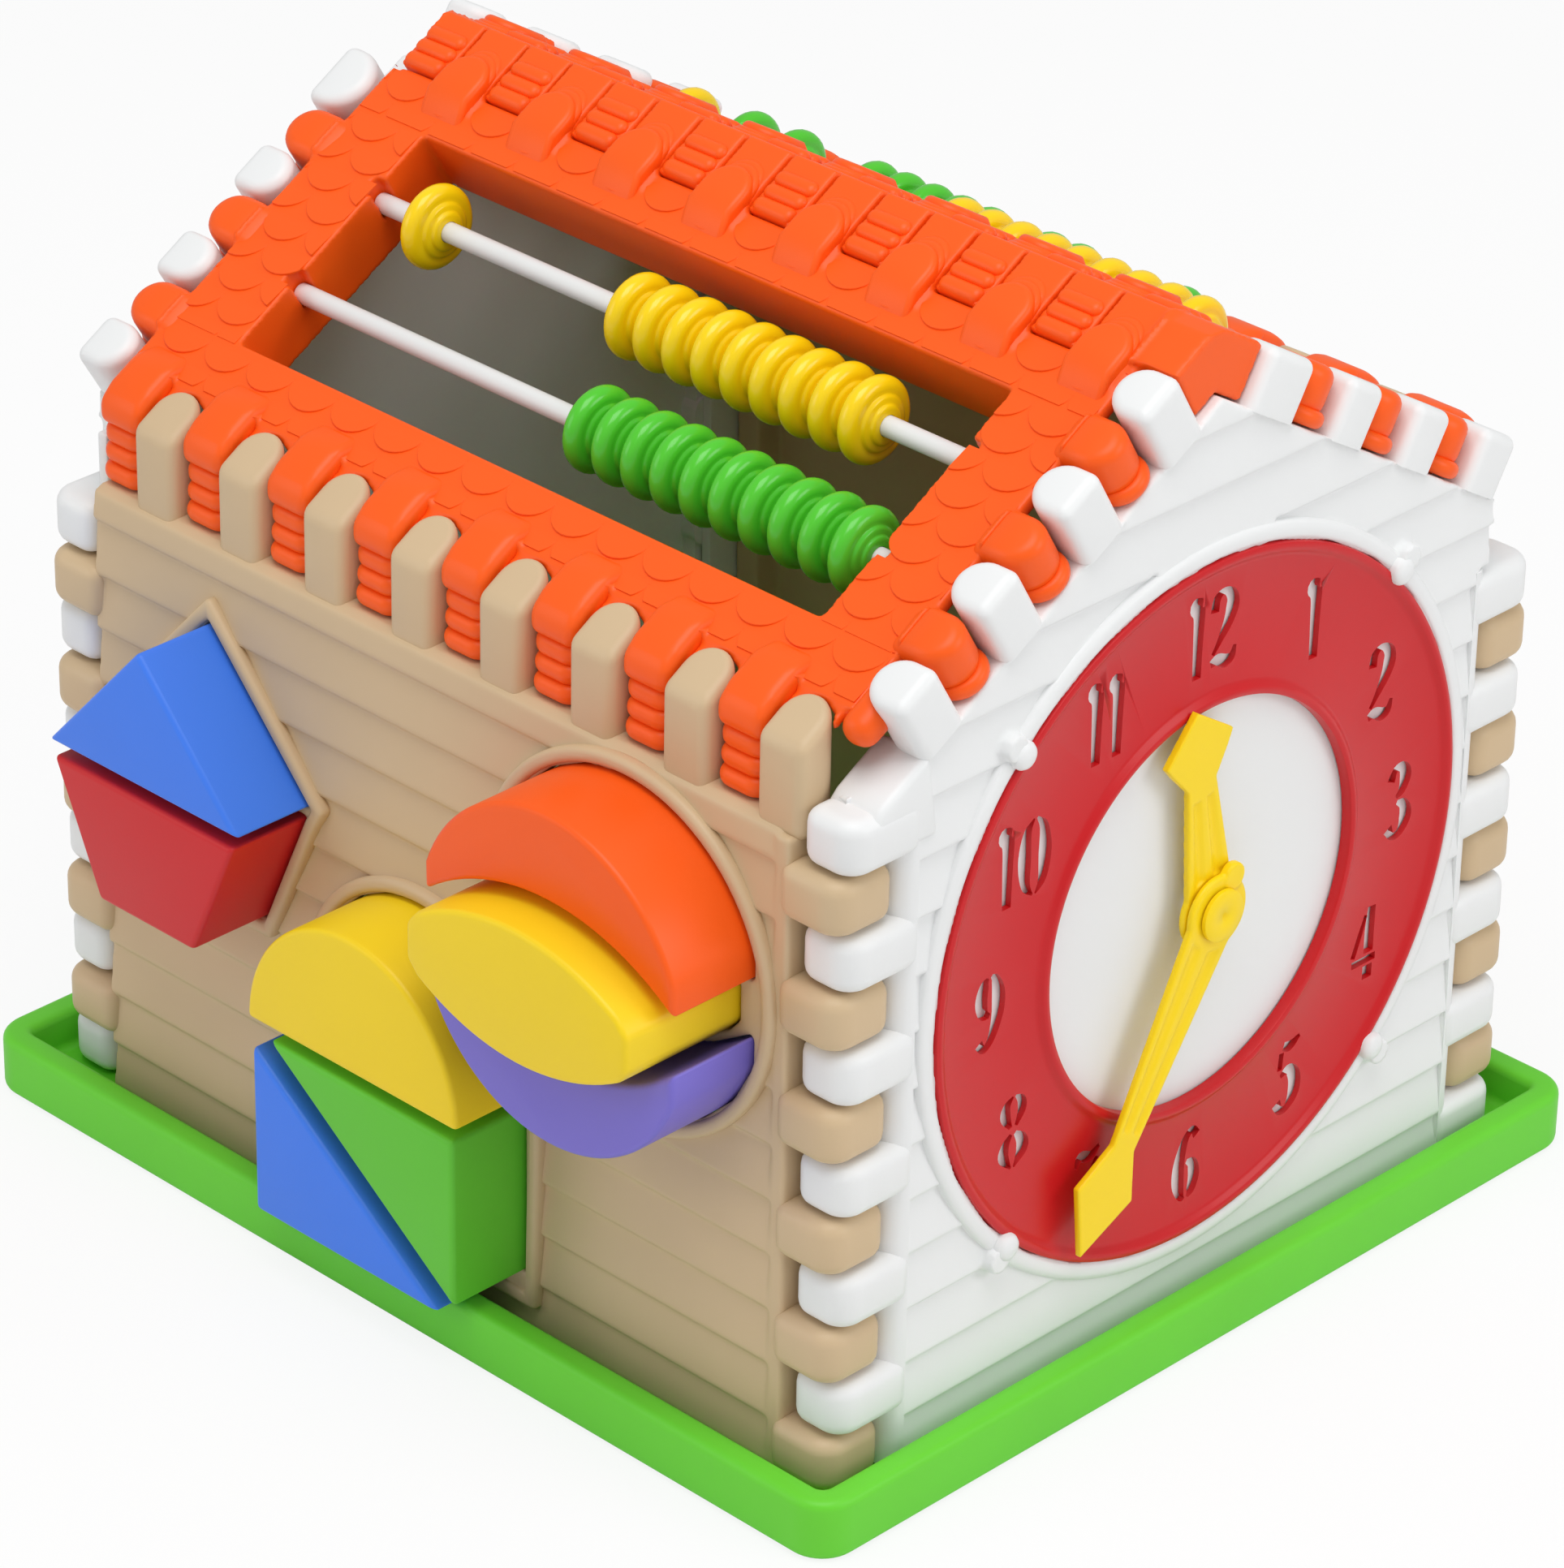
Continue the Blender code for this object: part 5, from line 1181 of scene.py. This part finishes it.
BLOCKS = {
    "block_triangle": ("blue", [pennant_left[0], pennant_right[-1], (PENNANT_MIDDLE, PENNANT_TOP)]),
    "block_trapezoid": ("red", [pennant_left[-1], pennant_right[0], *trapezoid_knees]),
    "block_half_disc": ("yellow", gate_arch),
    "block_upper_wedge": ("green", [
        (gate_left + wedge_side, wedge_top), (gate_right, GATE_SILL + wedge_rise),
        (gate_right, wedge_top),
    ]),
    "block_lower_wedge": ("blue", [
        (gate_left, GATE_SILL), (gate_right - wedge_side, GATE_SILL),
        (gate_left, wedge_top - wedge_rise),
    ]),
    "block_upper_crescent": ("orange", in_disc(crescent)),
    "block_lens": ("yellow", in_disc(lens)),
    "block_lower_crescent": ("purple", in_disc(crescent, -1)),
}

block_plastics = {
    name: moulded("block_" + name, colour, roughness=0.4, drift=0.04, grain=0.03)
    for name, colour in BLOCK_COLOURS.items()
}
for node, (colour, outline) in BLOCKS.items():
    block = bar(node + "_bar", outline, node)
    dress(block, block_plastics[colour], node, colour + "_plastic", node)


# Studio. A pale floor and soft lamps on both sides, as in a catalogue picture; the camera
# looks down on the corner between the block wall and the clock.
CAMERA_TURN = math.radians(44.633)
CAMERA_DROP = math.radians(28.988)
CAMERA_ROLL = math.radians(0.787)
CAMERA_PLACE = Vector((0.778019, -0.798721, 0.689183))
PHOTO_WIDTH = 1927
PHOTO_HEIGHT = 1932
FOCUS_PIXELS = 8419
CENTRE_PIXEL = (914.5, 964.8)
SENSOR_WIDTH = 36
HOUSE_MIDDLE = Vector((0, 0, 0.1))
FLOOR_SIZE = 6
FLOOR_HEIGHT = -0.2 * MM

floor = added(bpy.ops.mesh.primitive_plane_add, size=FLOOR_SIZE, location=(0, 0, FLOOR_HEIGHT))
floor.name = "studio_floor"
paper = bpy.data.materials.new("studio_paper")
paper.use_nodes = True
nodes, links = paper.node_tree.nodes, paper.node_tree.links
shader = nodes["Principled BSDF"]
set_inputs(shader, Base_Color=(0.9, 0.9, 0.9, 1), Roughness=0.9)
white = nodes.new("ShaderNodeEmission")
set_inputs(white, Strength=1.0)
seen = nodes.new("ShaderNodeLightPath")
share = nodes.new("ShaderNodeMath")
share.operation = "MULTIPLY"
share.inputs[1].default_value = 0.86
mix = nodes.new("ShaderNodeMixShader")
links.new(seen.outputs["Is Camera Ray"], share.inputs[0])
links.new(share.outputs[0], mix.inputs[0])
links.new(shader.outputs[0], mix.inputs[1])
links.new(white.outputs[0], mix.inputs[2])
links.new(mix.outputs[0], nodes["Material Output"].inputs["Surface"])
floor.data.materials.append(paper)

sky = bpy.data.worlds.new("studio_sky")
bpy.context.scene.world = sky
sky.use_nodes = True
set_inputs(sky.node_tree.nodes["Background"], Color=(1, 1, 1, 1), Strength=0.48)


def lamp(name, place, size, watts):
    """A soft square lamp that looks at the middle of the house."""
    item = added(bpy.ops.object.light_add, type="AREA", location=place)
    item.name = name
    item.data.size = size
    item.data.energy = watts
    item.rotation_euler = (HOUSE_MIDDLE - Vector(place)).to_track_quat("-Z", "Y").to_euler()


lamp("lamp_above", (0.3, -0.3, 1.4), size=0.9, watts=10)
lamp("lamp_right", (1.3, 0.5, 0.8), size=0.7, watts=5)
lamp("lamp_left", (-0.9, -1.3, 0.7), size=0.8, watts=3.2)

view = Vector((-math.sin(CAMERA_TURN) * math.cos(CAMERA_DROP),
               math.cos(CAMERA_TURN) * math.cos(CAMERA_DROP), -math.sin(CAMERA_DROP)))
level = Vector((math.cos(CAMERA_TURN), math.sin(CAMERA_TURN), 0))
upright = level.cross(view)
right = level * math.cos(CAMERA_ROLL) + upright * math.sin(CAMERA_ROLL)
up = upright * math.cos(CAMERA_ROLL) - level * math.sin(CAMERA_ROLL)
camera = added(bpy.ops.object.camera_add)
axes = Matrix((right, up, -view)).transposed().to_4x4()
camera.matrix_world = Matrix.Translation(CAMERA_PLACE) @ axes
camera.data.sensor_width = SENSOR_WIDTH
camera.data.lens = FOCUS_PIXELS * SENSOR_WIDTH / PHOTO_HEIGHT
camera.data.shift_x = -(CENTRE_PIXEL[0] - PHOTO_WIDTH / 2) / PHOTO_HEIGHT
camera.data.shift_y = (CENTRE_PIXEL[1] - PHOTO_HEIGHT / 2) / PHOTO_HEIGHT
camera.data.clip_end = 20
bpy.context.scene.camera = camera
bpy.context.scene.view_settings.view_transform = "Standard"
